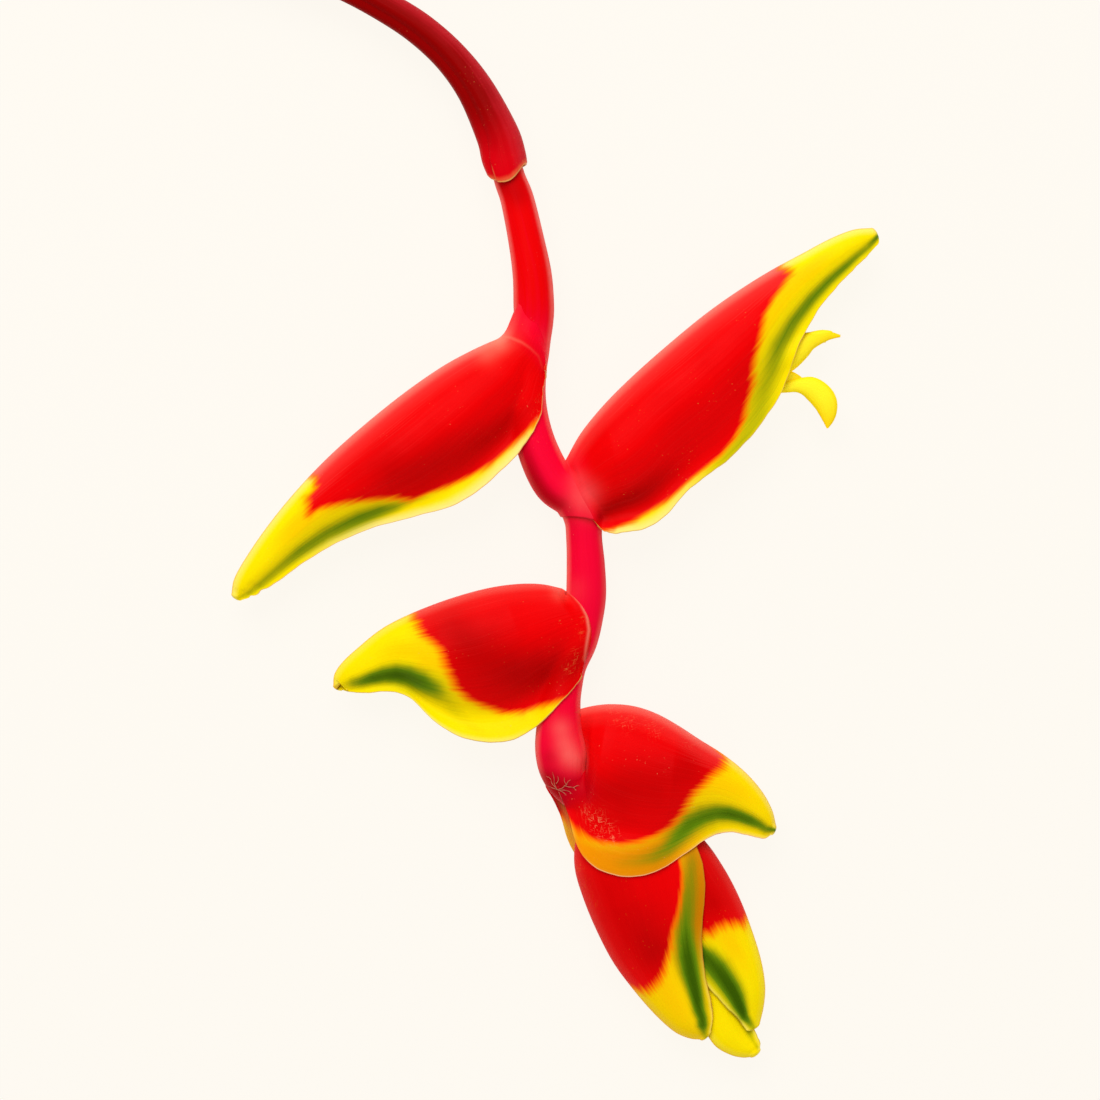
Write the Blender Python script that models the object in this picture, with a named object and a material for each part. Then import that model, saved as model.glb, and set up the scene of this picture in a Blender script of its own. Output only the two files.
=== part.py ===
"""Lobster claw heliconia: one cut hanging flower, laid on its side.

The stalk zigzags in one level plane. Each bract is a thick blade folded along its keel,
with one flank on each side of that plane, and its base wraps the stalk. The youngest
bracts sit one inside another at the tip. Lengths are in millimetres until a mesh is made.
The origin is on the resting surface, under the middle of the whole flower.
"""

import bmesh
import bpy
import numpy as np

MM = 0.001

AXIS_HEIGHT = 9.6  # of the stalk and the keels above the resting surface
CLEARANCE = 0.7  # between a bract and whatever it wraps
STALK_SIDES = 14
STALK_RINGS = 48
SHEATH_SIDES = 18
SHEATH_RINGS = 18
SHEATH_WALL = 0.75
SHEATH_TONGUE = 2.2  # how far the front of the sheath's mouth reaches past its sides
SEAM_STEP = 0.5  # how far the overlapping edge of the sheath stands out
BRACT_WALL = 1.3
BRACT_EDGE = 0.65  # thickness of a bract at its lips and at its tip
CREST = 0.42  # where a flank is highest, from keel to lip
FLOWER_SIDES = 10
FLOWER_FLATNESS = 0.72  # thickness of the flower against its breadth

# The stalk from its cut end to its end between the young bracts: x, y, radius.
RACHIS = [
    (-92.0, 139.2, 2.4), (-77.8, 137.0, 2.4), (-64.0, 133.8, 2.4), (-51.5, 129.8, 2.4),
    (-40.0, 125.0, 2.4), (-29.5, 119.5, 2.5), (-21.5, 114.5, 2.6), (-10.8, 104.0, 3.0),
    (-7.0, 98.5, 3.2), (-2.2, 88.0, 3.6), (-0.5, 82.0, 3.8), (1.0, 76.5, 4.0),
    (2.8, 71.5, 4.2), (5.1, 61.5, 4.5), (6.5, 52.8, 4.9), (6.9, 45.2, 5.1), (6.9, 41.0, 4.9),
    (6.8, 37.0, 4.6), (6.5, 33.0, 4.5), (6.2, 27.8, 4.2), (6.4, 21.0, 4.2), (7.5, 14.0, 4.4),
    (9.8, 7.0, 4.6), (13.2, 1.2, 5.0), (17.8, -2.8, 5.0), (19.8, -8.0, 4.5),
    (19.6, -13.5, 4.4), (20.1, -19.8, 4.7), (20.2, -27.2, 4.9), (19.5, -33.5, 4.6),
    (18.4, -39.0, 4.5), (16.2, -44.5, 4.1), (14.8, -49.5, 4.2), (13.8, -54.5, 4.9),
    (13.2, -60.0, 5.5), (13.2, -65.5, 5.8), (14.0, -70.5, 5.6), (16.0, -74.8, 4.9),
    (19.2, -77.8, 4.1), (22.8, -79.8, 3.5), (26.5, -81.5, 3.2), (30.5, -83.8, 3.0),
    (33.8, -86.5, 2.8), (36.5, -90.5, 2.4), (38.5, -95.0, 2.0),
]
# The sheath round the top of it, from the cut end to its mouth: x, y, outer radius.
SHEATH = [
    (-92.0, 139.2, 3.8), (-77.8, 137.0, 3.8), (-64.0, 133.8, 3.8), (-51.5, 129.8, 3.8),
    (-40.0, 125.0, 3.8), (-29.5, 119.5, 3.9), (-21.5, 114.5, 4.0), (-10.8, 104.0, 4.3),
    (-7.0, 98.5, 4.6), (-2.2, 88.0, 5.2), (-0.6, 82.5, 5.4), (0.4, 79.0, 5.1),
]

# Each bract from its base to its tip: keel x, keel y, lip x, lip y, and how far the
# line across its flank bows.
BRACT_1 = [
    (0.2, 39.2, 10.5, 28.0, 2.0), (-2.8, 36.5, 9.2, 23.0, 1.5), (-8.2, 34.0, 8.5, 17.0, 1.2),
    (-15.8, 30.0, 5.5, 11.5, 0.8), (-25.2, 23.5, -0.8, 4.2, 0), (-35.2, 15.5, -10.5, -3.8, 0),
    (-44.5, 7.2, -22.5, -7.2, 0), (-52.5, -1.2, -35.2, -11.0, 0),
    (-59.5, -9.8, -46.5, -16.2, 0), (-65.0, -17.8, -55.5, -22.8, 0),
    (-68.0, -23.2, -61.8, -27.0, 0), (-68.8, -26.8, -66.0, -28.5, 0),
]
BRACT_2 = [
    (16.2, 9.0, 10.8, -5.5, 0), (18.2, 13.0, 19.5, -9.2, 0), (21.8, 17.2, 29.0, -12.0, 0),
    (26.8, 22.8, 37.5, -9.2, 0), (33.5, 29.2, 46.0, -0.8, 0), (41.5, 36.2, 54.5, 5.8, 0),
    (49.8, 43.0, 62.8, 14.0, 0), (58.0, 48.8, 69.0, 23.8, 0), (66.0, 53.8, 73.2, 35.0, 0),
    (73.8, 58.0, 79.5, 45.8, 0), (81.0, 61.5, 85.8, 52.5, 0), (87.2, 63.8, 90.2, 57.5, 0),
    (91.8, 64.2, 93.0, 60.5, 0),
]
BRACT_3 = [
    (13.5, -25.5, 19.5, -45.2, 4.0), (8.8, -24.5, 18.2, -49.0, 2.0),
    (2.5, -24.5, 13.5, -54.2, 0.8), (-4.5, -25.5, 7.8, -60.0, 0),
    (-12.0, -27.5, -0.2, -64.0, 0), (-19.0, -30.0, -9.8, -63.0, 0),
    (-25.2, -33.0, -17.2, -59.0, 0), (-30.8, -36.2, -23.5, -52.5, 0),
    (-36.2, -40.5, -29.5, -51.0, 0), (-40.2, -44.2, -35.2, -51.5, 0),
    (-42.8, -47.2, -39.0, -51.5, 0), (-43.2, -49.8, -40.8, -51.0, 0),
]
BRACT_4 = [
    (19.0, -56.5, 13.2, -76.2, 4.2), (22.5, -55.0, 16.0, -82.2, 2.2),
    (26.5, -54.5, 17.8, -90.2, 0.8), (32.0, -55.0, 22.5, -95.5, 0),
    (37.5, -56.8, 30.0, -97.8, 0), (43.0, -59.8, 38.0, -96.0, 0),
    (48.5, -63.5, 45.0, -91.5, 0), (54.0, -67.0, 50.8, -87.5, 0),
    (59.2, -71.5, 56.2, -86.5, 0), (63.5, -76.2, 61.0, -87.5, 0),
    (66.2, -81.0, 64.5, -88.2, 0), (67.5, -84.8, 66.2, -87.2, 0),
]
BRACT_5 = [
    (18.8, -85.0, 30.5, -76.8, 0), (17.5, -89.8, 37.2, -79.5, 0),
    (17.5, -95.8, 44.2, -84.8, 0), (19.2, -102.5, 48.2, -91.5, 0),
    (22.5, -110.2, 49.8, -99.2, 0), (27.2, -118.8, 49.2, -107.5, 0),
    (32.5, -125.8, 49.0, -115.5, 0), (38.0, -131.5, 50.0, -123.0, 0),
    (42.5, -135.8, 51.2, -128.5, 0), (46.0, -137.8, 51.8, -132.5, 0),
    (48.5, -138.2, 51.2, -136.0, 0),
]
BRACT_6 = [
    (37.2, -81.5, 32.0, -89.0, 0), (44.2, -83.8, 33.0, -95.5, 0),
    (50.0, -89.0, 35.5, -101.8, 0), (54.8, -96.0, 38.8, -108.0, 0),
    (58.5, -103.2, 43.0, -114.8, 0), (61.5, -111.0, 47.2, -121.2, 0),
    (63.8, -118.5, 51.8, -126.8, 0), (64.8, -124.8, 55.2, -130.5, 0),
    (64.5, -129.8, 57.8, -133.0, 0), (63.5, -134.2, 60.0, -135.8, 0),
]
BRACT_7 = [
    (37.2, -96.5, 42.5, -94.0, 0), (38.0, -103.0, 46.5, -98.5, 0),
    (39.8, -110.5, 50.5, -104.8, 0), (42.2, -118.0, 54.0, -112.2, 0),
    (45.2, -125.5, 57.8, -119.8, 0), (48.5, -132.8, 59.5, -126.8, 0),
    (52.2, -139.2, 60.8, -132.0, 0), (56.2, -142.0, 62.8, -136.8, 0),
    (59.5, -143.0, 63.8, -138.8, 0), (61.8, -143.0, 64.0, -140.5, 0),
]

# The open flower of the second bract: x, y, half breadth.
SPIKE = [
    (23.9, -2.6, 0.8), (27.8, 0, 1.1), (32.0, 3.8, 1.4), (37.2, 7.8, 2.0), (43.5, 11.8, 2.2),
    (51.0, 17.0, 2.1), (58.5, 22.5, 2.2), (64.8, 28.0, 2.8), (69.8, 31.5, 3.0),
    (73.5, 34.0, 2.4), (76.8, 35.9, 1.6), (80.2, 37.2, 1.0), (83.5, 37.6, 0.5),
]
SEPAL = [
    (60.5, 23.5, 1.2), (65.5, 25.2, 1.2), (69.8, 26.0, 1.2), (73.0, 25.8, 1.6),
    (76.2, 24.5, 2.2), (78.8, 22.5, 2.5), (80.5, 19.8, 2.2), (81.1, 17.2, 1.5),
    (80.9, 14.8, 0.5),
]
PETAL = [
    (62.2, 26.8, 1.0), (67.2, 28.5, 1.1), (71.0, 28.5, 0.9), (74.2, 26.8, 0.4),
]

# For each bract: its stations, half thickness against depth in the middle and at the tip,
# the greatest half thickness, that of the base, how open the lips stand, and how far the
# bow of its base leans to the lip.
BRACTS = {
    "bract_7": (BRACT_7, 0.19, 0.28, 3.4, 3.2, 0.30, 1),
    "bract_6": (BRACT_6, 0.29, 0.42, 6.3, 4.3, 0.55, 1),
    "bract_5": (BRACT_5, 0.26, 0.42, 7.9, 5.0, 0.86, 1),
    "bract_4": (BRACT_4, 0.29, 0.32, 10.5, 6.8, 0.66, 2),
    "bract_3": (BRACT_3, 0.27, 0.32, 9.4, 6.2, 0.30, 1),
    "bract_2": (BRACT_2, 0.33, 0.34, 10.6, 6.5, 0.50, 1),
    "bract_1": (BRACT_1, 0.34, 0.34, 10.6, 6.3, 0.34, 1),
}
# How far the hidden back lip stands from the front one at the base, and how far along
# the bract it comes back to it.
BACK_LIPS = {"bract_4": (-2.2, 0.4, 0.45)}

COLOURS = {
    "sheath": (0.22, 0.01, 0.02, 1),
    "rachis": (0.62, 0.01, 0.05, 1),
    "bract_1": (0.65, 0.01, 0.005, 1),
    "bract_2": (0.66, 0.01, 0.005, 1),
    "bract_3": (0.64, 0.01, 0.005, 1),
    "bract_4": (0.67, 0.01, 0.005, 1),
    "bract_5": (0.60, 0.01, 0.005, 1),
    "bract_6": (0.75, 0.30, 0.01, 1),
    "bract_7": (0.80, 0.58, 0.01, 1),
    "flower": (0.85, 0.68, 0.01, 1),
}


def spline(stations, count):
    """Points along a smooth curve through rows of numbers, evenly spread over the rows."""
    rows = np.asarray(stations, float)
    rows = np.vstack([2 * rows[0] - rows[1], rows, 2 * rows[-1] - rows[-2]])
    place = np.linspace(0, len(stations) - 1, count)
    index = np.minimum(place.astype(int), len(stations) - 2)
    f = (place - index)[:, None]
    a, b, c, d = (rows[index + k] for k in range(4))
    line = 2 * b + (c - a) * f
    return 0.5 * (line + (2 * a - 5 * b + 4 * c - d) * f**2 + (3 * b - a - 3 * c + d) * f**3)


def smoothstep(x):
    """An even rise from 0 to 1."""
    x = np.clip(x, 0, 1)
    return x * x * (3 - 2 * x)


def level(points):
    """Plane points or directions with a height of nothing."""
    return np.concatenate([points, np.zeros(points.shape[:-1] + (1,))], axis=-1)


def directions(path):
    """Unit vectors along a plane path and square to it."""
    along = np.gradient(path, axis=0)
    along /= np.linalg.norm(along, axis=1)[:, None]
    return along, np.stack([-along[:, 1], along[:, 0]], 1)


def stalk_height(spots, margin, stalk):
    """The least height at which a flank clears a stalk made of circles: x, y, radius."""
    away = np.linalg.norm(spots[..., None, :] - stalk[:, :2], axis=-1)
    reach = stalk[:, 2] + margin[..., None]
    arch = np.sqrt(np.maximum(reach**2 - away**2, 0.36 * reach**2))
    return (arch - 4 / 3 * np.maximum(away - 0.8 * reach, 0)).max(-1)


def nested_height(spots, margin, points):
    """The least height at which a flank clears the points of a younger bract."""
    away = np.linalg.norm(spots[..., None, :] - points[:, :2], axis=-1)
    return (np.abs(points[:, 2]) + margin[..., None] - away**2 / 11).max(-1)


def denser(grid):
    """A grid of points with one more halfway along every step, both ways."""
    across = np.concatenate([grid, (grid[1:] + grid[:-1]) / 2])
    return np.concatenate([across, (across[:, 1:] + across[:, :-1]) / 2], axis=1)


def bract_grids(name, stalks, younger):
    """Outer and inner point grids of a bract, from front lip over the keel to back lip."""
    stations, ratio, tip_ratio, most, base, open_lip, lean = BRACTS[name]
    count = 2 * len(stations) - 1
    rows = spline(stations, count)
    t = np.linspace(0, 1, count)
    turn = np.radians([0, 22, 44, 67, 90])
    s = np.append(CREST * (1 - np.cos(turn)), [0.58, 0.73, 0.87, 1.0])[:, None]
    keel, lip = rows[:, 0:2], rows[:, 2:4]
    bow = rows[:, 4] * s**lean * (1 - s) * (1 + lean) ** (1 + lean) / lean**lean

    # Half thickness of each section, and the share of it that each point has.
    depth = np.linalg.norm(lip - keel, axis=1)
    half = np.minimum((ratio + (tip_ratio - ratio) * smoothstep(2 * t - 1)) * depth, most)
    half = np.maximum(base + (half - base) * smoothstep(t / 0.3), 1.4)
    rise = np.sqrt(1 - (1 - np.minimum(s, CREST) / CREST) ** 2)
    shut = (1 - open_lip) * smoothstep(t / 0.15) * smoothstep((s - CREST) / 0.48)
    dip = 0.05 * np.exp(-(((s - 0.86) / 0.08) ** 2))
    wall = (1 - smoothstep((s - 0.55) / 0.45)) * (1 - smoothstep((t - 0.55) / 0.4))
    wall = BRACT_EDGE + (BRACT_WALL - BRACT_EDGE) * wall * (0.3 + 0.7 * smoothstep(t / 0.15))
    wall = np.clip(wall, 0.6, np.maximum(0.7 * half**2 / (CREST * depth), 0.6))
    height = np.maximum(half * rise * (1 - shut - dip), (wall + 0.25) * rise)

    flanks = []
    for side in (1, -1):
        edge = lip
        if side < 0 and name in BACK_LIPS:
            x, y, end = BACK_LIPS[name]
            edge = lip + np.array([x, y]) * np.sqrt(np.clip(1 - t / end, 0, 1))[:, None]
        line = edge - keel
        square = np.stack([-line[:, 1], line[:, 0]], 1) / np.linalg.norm(line, axis=1)[:, None]
        spots = keel + line * s[..., None] + square * bow[..., None]
        need = np.full(height.shape, -9.0)
        for stalk in stalks:
            need = np.maximum(need, stalk_height(spots, wall + CLEARANCE, stalk))
        for points in younger:
            need = np.maximum(need, nested_height(spots, wall + CLEARANCE, points))
        need = np.minimum(need, 2.2 * half * rise)
        clear = (height + need + np.sqrt((height - need) ** 2 + 0.3)) / 2
        clear = np.where(s > 0, clear, 0)
        if side < 0:
            clear = np.minimum(clear, AXIS_HEIGHT)
        flanks.append(np.concatenate([spots, side * clear[..., None]], axis=2))
    outer = np.concatenate([flanks[0][::-1], flanks[1][1:]])
    wall = np.concatenate([wall[::-1], wall[1:]])

    # The inner face follows the outer one at the thickness of the blade.
    square = np.cross(np.gradient(outer, axis=1), np.gradient(outer, axis=0))
    square /= np.linalg.norm(square, axis=2)[..., None]
    inward = level(lip - keel)
    turned = np.sign((square[len(s) - 1] * inward).sum(-1))
    return outer, outer + square * (turned * wall)[..., None]


def shell(outer, inner, ring=False):
    """A closed body between two grids, cut into triangles alike on both faces."""
    m, n = outer.shape[:2]
    i, j = np.meshgrid(np.arange(m - 1), np.arange(n - 1), indexing="ij")
    a = (i * n + j).ravel()
    front = np.concatenate([np.stack([a, a + n, a + n + 1], 1), np.stack([a, a + n + 1, a + 1], 1)])
    rims = [np.arange(m) * n + n - 1, np.arange(m)[::-1] * n]
    if not ring:
        rims += [np.arange(n), (m - 1) * n + np.arange(n)[::-1]]
    faces = [front, front[:, ::-1] + m * n]
    for rim in rims:
        here, after = rim[:-1], rim[1:]
        faces.append(np.stack([here, after, after + m * n], 1))
        faces.append(np.stack([here, after + m * n, here + m * n], 1))
    return np.concatenate([outer.reshape(-1, 3), inner.reshape(-1, 3)]), np.concatenate(faces)


def tube(path, sides, flatness=1.0):
    """A closed round body along a plane path of x, y, radius."""
    _, square = directions(path[:, :2])
    turn = np.linspace(0, 2 * np.pi, sides, endpoint=False)
    ring = level(square)[:, None] * np.cos(turn)[:, None]
    ring[..., 2] += flatness * np.sin(turn)
    middle = level(path[:, :2])
    points = (middle[:, None] + ring * path[:, 2][:, None, None]).reshape(-1, 3)
    n = len(path)
    i, j = np.meshgrid(np.arange(n - 1) * sides, np.arange(sides), indexing="ij")
    k = (j + 1) % sides
    corners = [x.ravel() for x in (i + j, i + k, i + sides + k, i + sides + j)]
    a, b, c, d = corners
    j = np.arange(sides)
    k = (j + 1) % sides
    start = np.full(sides, n * sides)
    faces = [
        np.stack([a, b, c], 1),
        np.stack([a, c, d], 1),
        np.stack([start, k, j], 1),
        np.stack([start + 1, (n - 1) * sides + j, (n - 1) * sides + k], 1),
    ]
    return np.concatenate([points, middle[[0, -1]]]), np.concatenate(faces)


def sheath():
    """The wrapped tube round the upper stalk, open at both ends, one edge lapped over."""
    path = spline(SHEATH, SHEATH_RINGS)
    along, square = directions(path[:, :2])
    turn = np.linspace(0, 2 * np.pi, SHEATH_SIDES + 1)[:, None]
    near_mouth = smoothstep((np.linspace(0, 1, len(path)) - 0.7) / 0.3)
    lapped = np.where(np.abs(turn - 2.7) < 0.6, SEAM_STEP, 0) * near_mouth
    reach = SHEATH_TONGUE * near_mouth * np.clip(np.sin(turn), 0, 1) ** 2
    lean = level(square) * np.cos(turn)[..., None]
    lean[..., 2] += np.sin(turn)
    middle = level(path[:, :2]) + level(along) * reach[..., None]
    outer = middle + lean * (path[:, 2] + lapped)[..., None]
    inner = middle + lean * (path[:, 2] - SHEATH_WALL)[..., None]
    return shell(outer, inner, ring=True)


def add_object(name, points, faces, helper=False):
    """Makes one smooth mesh object with its own material, every face turned outward.

    Its origin is at its first point's place on the stalk's axis.
    """
    place = np.array([points[0][0], points[0][1], 0])
    mesh = bpy.data.meshes.new(name)
    mesh.from_pydata(((points - place) * MM).tolist(), [], faces.tolist())
    work = bmesh.new()
    work.from_mesh(mesh)
    bmesh.ops.remove_doubles(work, verts=work.verts, dist=1e-6)
    bmesh.ops.recalc_face_normals(work, faces=work.faces)
    work.to_mesh(mesh)
    work.free()
    mesh.shade_smooth()
    obj = bpy.data.objects.new(name, mesh)
    obj.location = (place + (0, 0, AXIS_HEIGHT)) * MM
    bpy.context.scene.collection.objects.link(obj)
    if helper:
        obj.hide_render = True
        obj.display_type = "WIRE"
        return obj
    material = bpy.data.materials.new(name)
    material.use_nodes = True
    shader = material.node_tree.nodes["Principled BSDF"]
    shader.inputs["Base Color"].default_value = COLOURS[name]
    shader.inputs["Roughness"].default_value = 0.4
    shader.inputs["Metallic"].default_value = 0.0
    mesh.materials.append(material)
    return obj


def join(obj, other):
    """Joins another solid onto an object."""
    modifier = obj.modifiers.new(other.name, "BOOLEAN")
    modifier.operation = "UNION"
    modifier.solver = "EXACT"
    modifier.object = other


def main():
    """Clears the scene and makes every piece of the flower."""
    for old in list(bpy.data.objects):
        bpy.data.objects.remove(old)
    whole = bpy.data.objects.new("heliconia", None)
    bpy.context.scene.collection.objects.link(whole)
    add_object("rachis", *tube(spline(RACHIS, STALK_RINGS), STALK_SIDES))
    add_object("sheath", *sheath())

    spike = spline(SPIKE, 2 * len(SPIKE) - 3)
    flower = add_object("flower", *tube(spike, FLOWER_SIDES, FLOWER_FLATNESS))
    for name, stations in (("sepal", SEPAL), ("petal", PETAL)):
        body = tube(spline(stations, 2 * len(stations)), FLOWER_SIDES, FLOWER_FLATNESS)
        join(flower, add_object(name, *body, helper=True))

    circles = spline(RACHIS, 400)
    inside = []
    for name in BRACTS:
        stalks = [circles, spline(SPIKE, 60)] if name == "bract_2" else [circles]
        wraps = inside if name in ("bract_6", "bract_5", "bract_4") else []
        outer, inner = bract_grids(name, stalks, wraps)
        add_object(name, *shell(outer, inner))
        inside.append(denser(outer).reshape(-1, 3))

    for obj in bpy.data.objects:
        if obj is not whole:
            obj.parent = whole


main()
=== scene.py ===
"""Looks of a cut lobster claw heliconia that lies on a pale table, seen from above.

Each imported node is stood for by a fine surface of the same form: the stalk, the sheath
round it, seven folded bracts and one open flower. Some dry fibres lie on the stalk, too
thin for a solid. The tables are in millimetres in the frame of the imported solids, with
heights measured from the plane of the stalk's axis.
"""

import logging
from dataclasses import dataclass, field, fields
from enum import Enum
from types import SimpleNamespace

import bpy
import numpy as np
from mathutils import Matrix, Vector


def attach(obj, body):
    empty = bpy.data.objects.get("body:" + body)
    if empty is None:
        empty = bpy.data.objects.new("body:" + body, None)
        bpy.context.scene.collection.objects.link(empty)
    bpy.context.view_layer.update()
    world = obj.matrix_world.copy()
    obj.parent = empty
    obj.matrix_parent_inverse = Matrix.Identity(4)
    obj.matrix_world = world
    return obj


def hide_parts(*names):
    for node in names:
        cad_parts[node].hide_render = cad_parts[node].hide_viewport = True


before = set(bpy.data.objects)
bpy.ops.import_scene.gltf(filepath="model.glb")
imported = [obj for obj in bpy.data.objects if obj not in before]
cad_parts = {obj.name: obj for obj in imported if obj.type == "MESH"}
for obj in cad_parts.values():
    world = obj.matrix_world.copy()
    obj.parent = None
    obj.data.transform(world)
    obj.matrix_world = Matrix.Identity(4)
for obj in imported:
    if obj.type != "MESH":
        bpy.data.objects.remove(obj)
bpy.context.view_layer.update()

Array = np.ndarray
Rows = list[tuple[float, ...]]
Colour = tuple[float, float, float]

log = logging.getLogger("heliconia")

MM = 0.001
AXIS_HEIGHT = 9.6
BODY = "root"
# The camera's place over the plane of the axis. The tables give what it sees there.
CAMERA_SPOT = np.array([11.0, -16.0])
CAMERA_HEIGHT = 764.0

# How many rows run along a bract, how many close its tip, and how many columns cross a flank.
BRACT_ROWS = 190
TIP_ROWS = 9
FLANK_COLUMNS = (22, 30)
# The share of a flank's depth at which the fold stands highest.
CREST = 0.42
# Thickness of a blade and of its lip, and the gaps that it keeps to what it wraps or clasps.
BLADE_WALL = 0.8
LIP_WALL = 0.34
NEST_GAP = 0.22
CLASP_GAP = 0.25
# The least half thickness of a bract, and how many times it a flank may be pushed out.
LEAST_HALF = 1.4
MOST_PUSH = 2.2
# How sharply a blade bends over what lies under it: the greater, the softer.
DRAPE_ROUNDING = 14.0
DRAPE_REACH = 12.0
# A height below everything.
NOWHERE = -30.0
# How many balls stand for the stalk and for the flower's spike.
STALK_BALLS = 300
SPIKE_BALLS = 60

# The stalk's axis from the cut end to the tip of the flower: x, y, radius.
RACHIS = [
    (-92, 139.2, 2.4), (-77.8, 137, 2.4), (-64, 133.8, 2.4), (-51.5, 129.8, 2.4), (-40, 125, 2.4),
    (-30, 119.7, 2.5), (-21.5, 114.2, 2.6), (-13.8, 107.2, 2.9), (-7.5, 98.8, 3.2), (-2.2, 88, 3.6),
    (-0.5, 82, 3.8), (1, 76.5, 4), (2.8, 71.5, 4.2), (5, 61.5, 4.5), (6.5, 52.8, 4.9), (6.9, 45.2, 5.1),
    (6.9, 41, 4.9), (6.6, 37, 4.6), (6.2, 33, 4.5), (5.8, 27.8, 4.2), (5.5, 21, 4.5), (6.5, 14, 4.8),
    (8.6, 7.2, 5.2), (12.2, 0.5, 5.4), (17, -3.2, 5.2), (19.1, -8, 4.7), (19.5, -13.5, 4.5),
    (19.9, -19.8, 4.8), (20, -27.2, 5), (19.4, -33.5, 4.7), (18.2, -39, 4.5), (16.1, -44.5, 4.1),
    (14.8, -49.5, 4.3), (13.6, -54.5, 5), (13.1, -60, 5.5), (13.1, -65.5, 5.9), (13.9, -70.5, 5.7),
    (16, -74.8, 4.9), (19.2, -77.8, 4.1), (22.8, -79.8, 3.5), (26.5, -81.5, 3.2), (30.5, -83.8, 3),
    (33.8, -86.5, 2.8), (36.5, -90.5, 2.4), (38.5, -95, 2),
]
# The sheath's outer radius along the upper stalk: x, y, radius.
SHEATH = [
    (-92, 139.2, 3.8), (-77.8, 137, 3.8), (-64, 133.8, 3.8), (-51.5, 129.8, 3.8), (-40, 125, 3.8),
    (-30, 119.7, 3.9), (-21.5, 114.2, 4.1), (-13.8, 107.2, 4.3), (-7.5, 98.8, 4.7), (-2.2, 88, 5.4),
    (-0.6, 82.5, 5.6), (0.4, 79, 5.2),
]
# The parts of the open flower: x, y, half breadth.
SPIKE = [
    (23.9, -2.6, 0.8), (27.8, 0, 1.1), (32, 3.8, 1.4), (37.2, 7.8, 2), (43.5, 11.8, 2.2), (51, 17, 2.1),
    (58.5, 22.5, 2.2), (64.8, 28, 2.8), (69.8, 31.5, 3.3), (72.8, 34, 3.1), (75, 35.8, 2.6),
    (77.2, 36.7, 1.9), (80, 37.5, 1.3), (81.8, 37.6, 0.8), (83.6, 37.5, 0.3),
]
SEPAL = [
    (60.5, 23.5, 1.2), (65.5, 24.2, 1.2), (69.8, 24.6, 1.3), (73, 25.1, 1.8), (76, 24.6, 2.8),
    (78.4, 22.9, 3.1), (79.8, 20.9, 3), (80.4, 18.6, 2.4), (80.5, 16.5, 1.5), (80.3, 14.4, 0.2),
]
PETAL = [
    (63.5, 26, 1.2), (67.2, 26.8, 1.8), (69.5, 27, 2), (71.2, 27.1, 1.7), (72.8, 26.9, 1.1),
    (74.2, 26.6, 0.4),
]
SPIKE_HOOK = [(74.5, 37, 1.1), (78.5, 38, 1), (80.7, 38.4, 0.5), (81.6, 38.4, 0.2)]
SPIKE_TOOTH = [(77, 36, 0.8), (79, 36.2, 0.5), (80, 36.1, 0.2)]
# The threads of dry fibre on the last node: x, y.
FIBRES = [
    [(12.8, -76), (12.1, -74.5), (12, -73), (11.6, -71.5)],
    [(12.5, -75.5), (11.5, -74.4), (11.1, -73.2), (10, -72.5)],
    [(13, -75.9), (14.1, -75.5), (14.9, -74.6), (14.6, -73.8), (14.6, -72.8)],
    [(14.5, -74.9), (15.5, -75.2), (16.8, -75.4), (17.8, -76.5), (18.5, -77.8)],
    [(13, -76.2), (14.2, -76), (15.8, -76.4), (16.8, -77.5)],
    [(13, -75.9), (11.9, -75.6), (10.8, -75.1), (10, -74.8)],
    [(13.2, -76.5), (13.6, -77.5), (14.1, -78.8), (14.4, -80.2)],
    [(15, -74.9), (15.5, -73.9), (16.2, -73.4)],
    [(13.5, -76.1), (14.8, -77), (15.5, -78.2), (16.1, -78.8)],
    [(12.5, -74.5), (13.1, -73.5), (12.9, -72.5)],
    [(16.8, -75.5), (17.8, -74.9), (18.8, -75.2)],
]
# Stations of each bract from base to tip: keel x, keel y, lip x, lip y, bow of the section.
BRACT_1 = [
    (2.8, 45.8, 10.2, 30.5, 2.2), (1.2, 41.8, 10, 28.8, 2.2), (-0.1, 38.8, 9.8, 27, 2.2),
    (-1.8, 37, 9.5, 25, 1.9), (-4.5, 35.8, 9.2, 22.5, 1.5), (-8.8, 33.8, 8.5, 17, 1.2),
    (-15.8, 30, 5.5, 11.5, 0.8), (-25.2, 23.5, -0.8, 4.2, 0), (-35.2, 15.5, -10.5, -3.8, 0),
    (-44.5, 7.2, -22.5, -7.5, 0), (-52.5, -1.2, -35.2, -11.2, 0), (-59.5, -9.8, -46.5, -16.4, 0),
    (-65, -17.8, -55.5, -22.9, 0), (-68, -23.2, -61.8, -27, 0), (-68.6, -26.8, -66, -28.5, 0),
]
BRACT_2 = [
    (13.5, 4, 21.2, -7.8, 0), (15.5, 7.6, 22.8, -9.7, 0), (18.2, 12.5, 24.5, -11.2, 0),
    (22, 17.5, 28.8, -11.9, 0), (26.8, 22.8, 37.5, -9.4, 0), (33.5, 29.2, 46, -0.8, 0),
    (41.5, 36.2, 54.5, 5.8, 0), (49.8, 43, 62.8, 14, 0), (58, 48.8, 69, 23.8, 0), (66, 53.8, 73.2, 35, 0),
    (73.8, 58, 79.2, 45.8, 0), (80.9, 61.8, 85.5, 52.5, 0), (86.8, 64.1, 90, 57.2, 0),
    (91.2, 64.5, 92.8, 60.2, 0),
]
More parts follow.
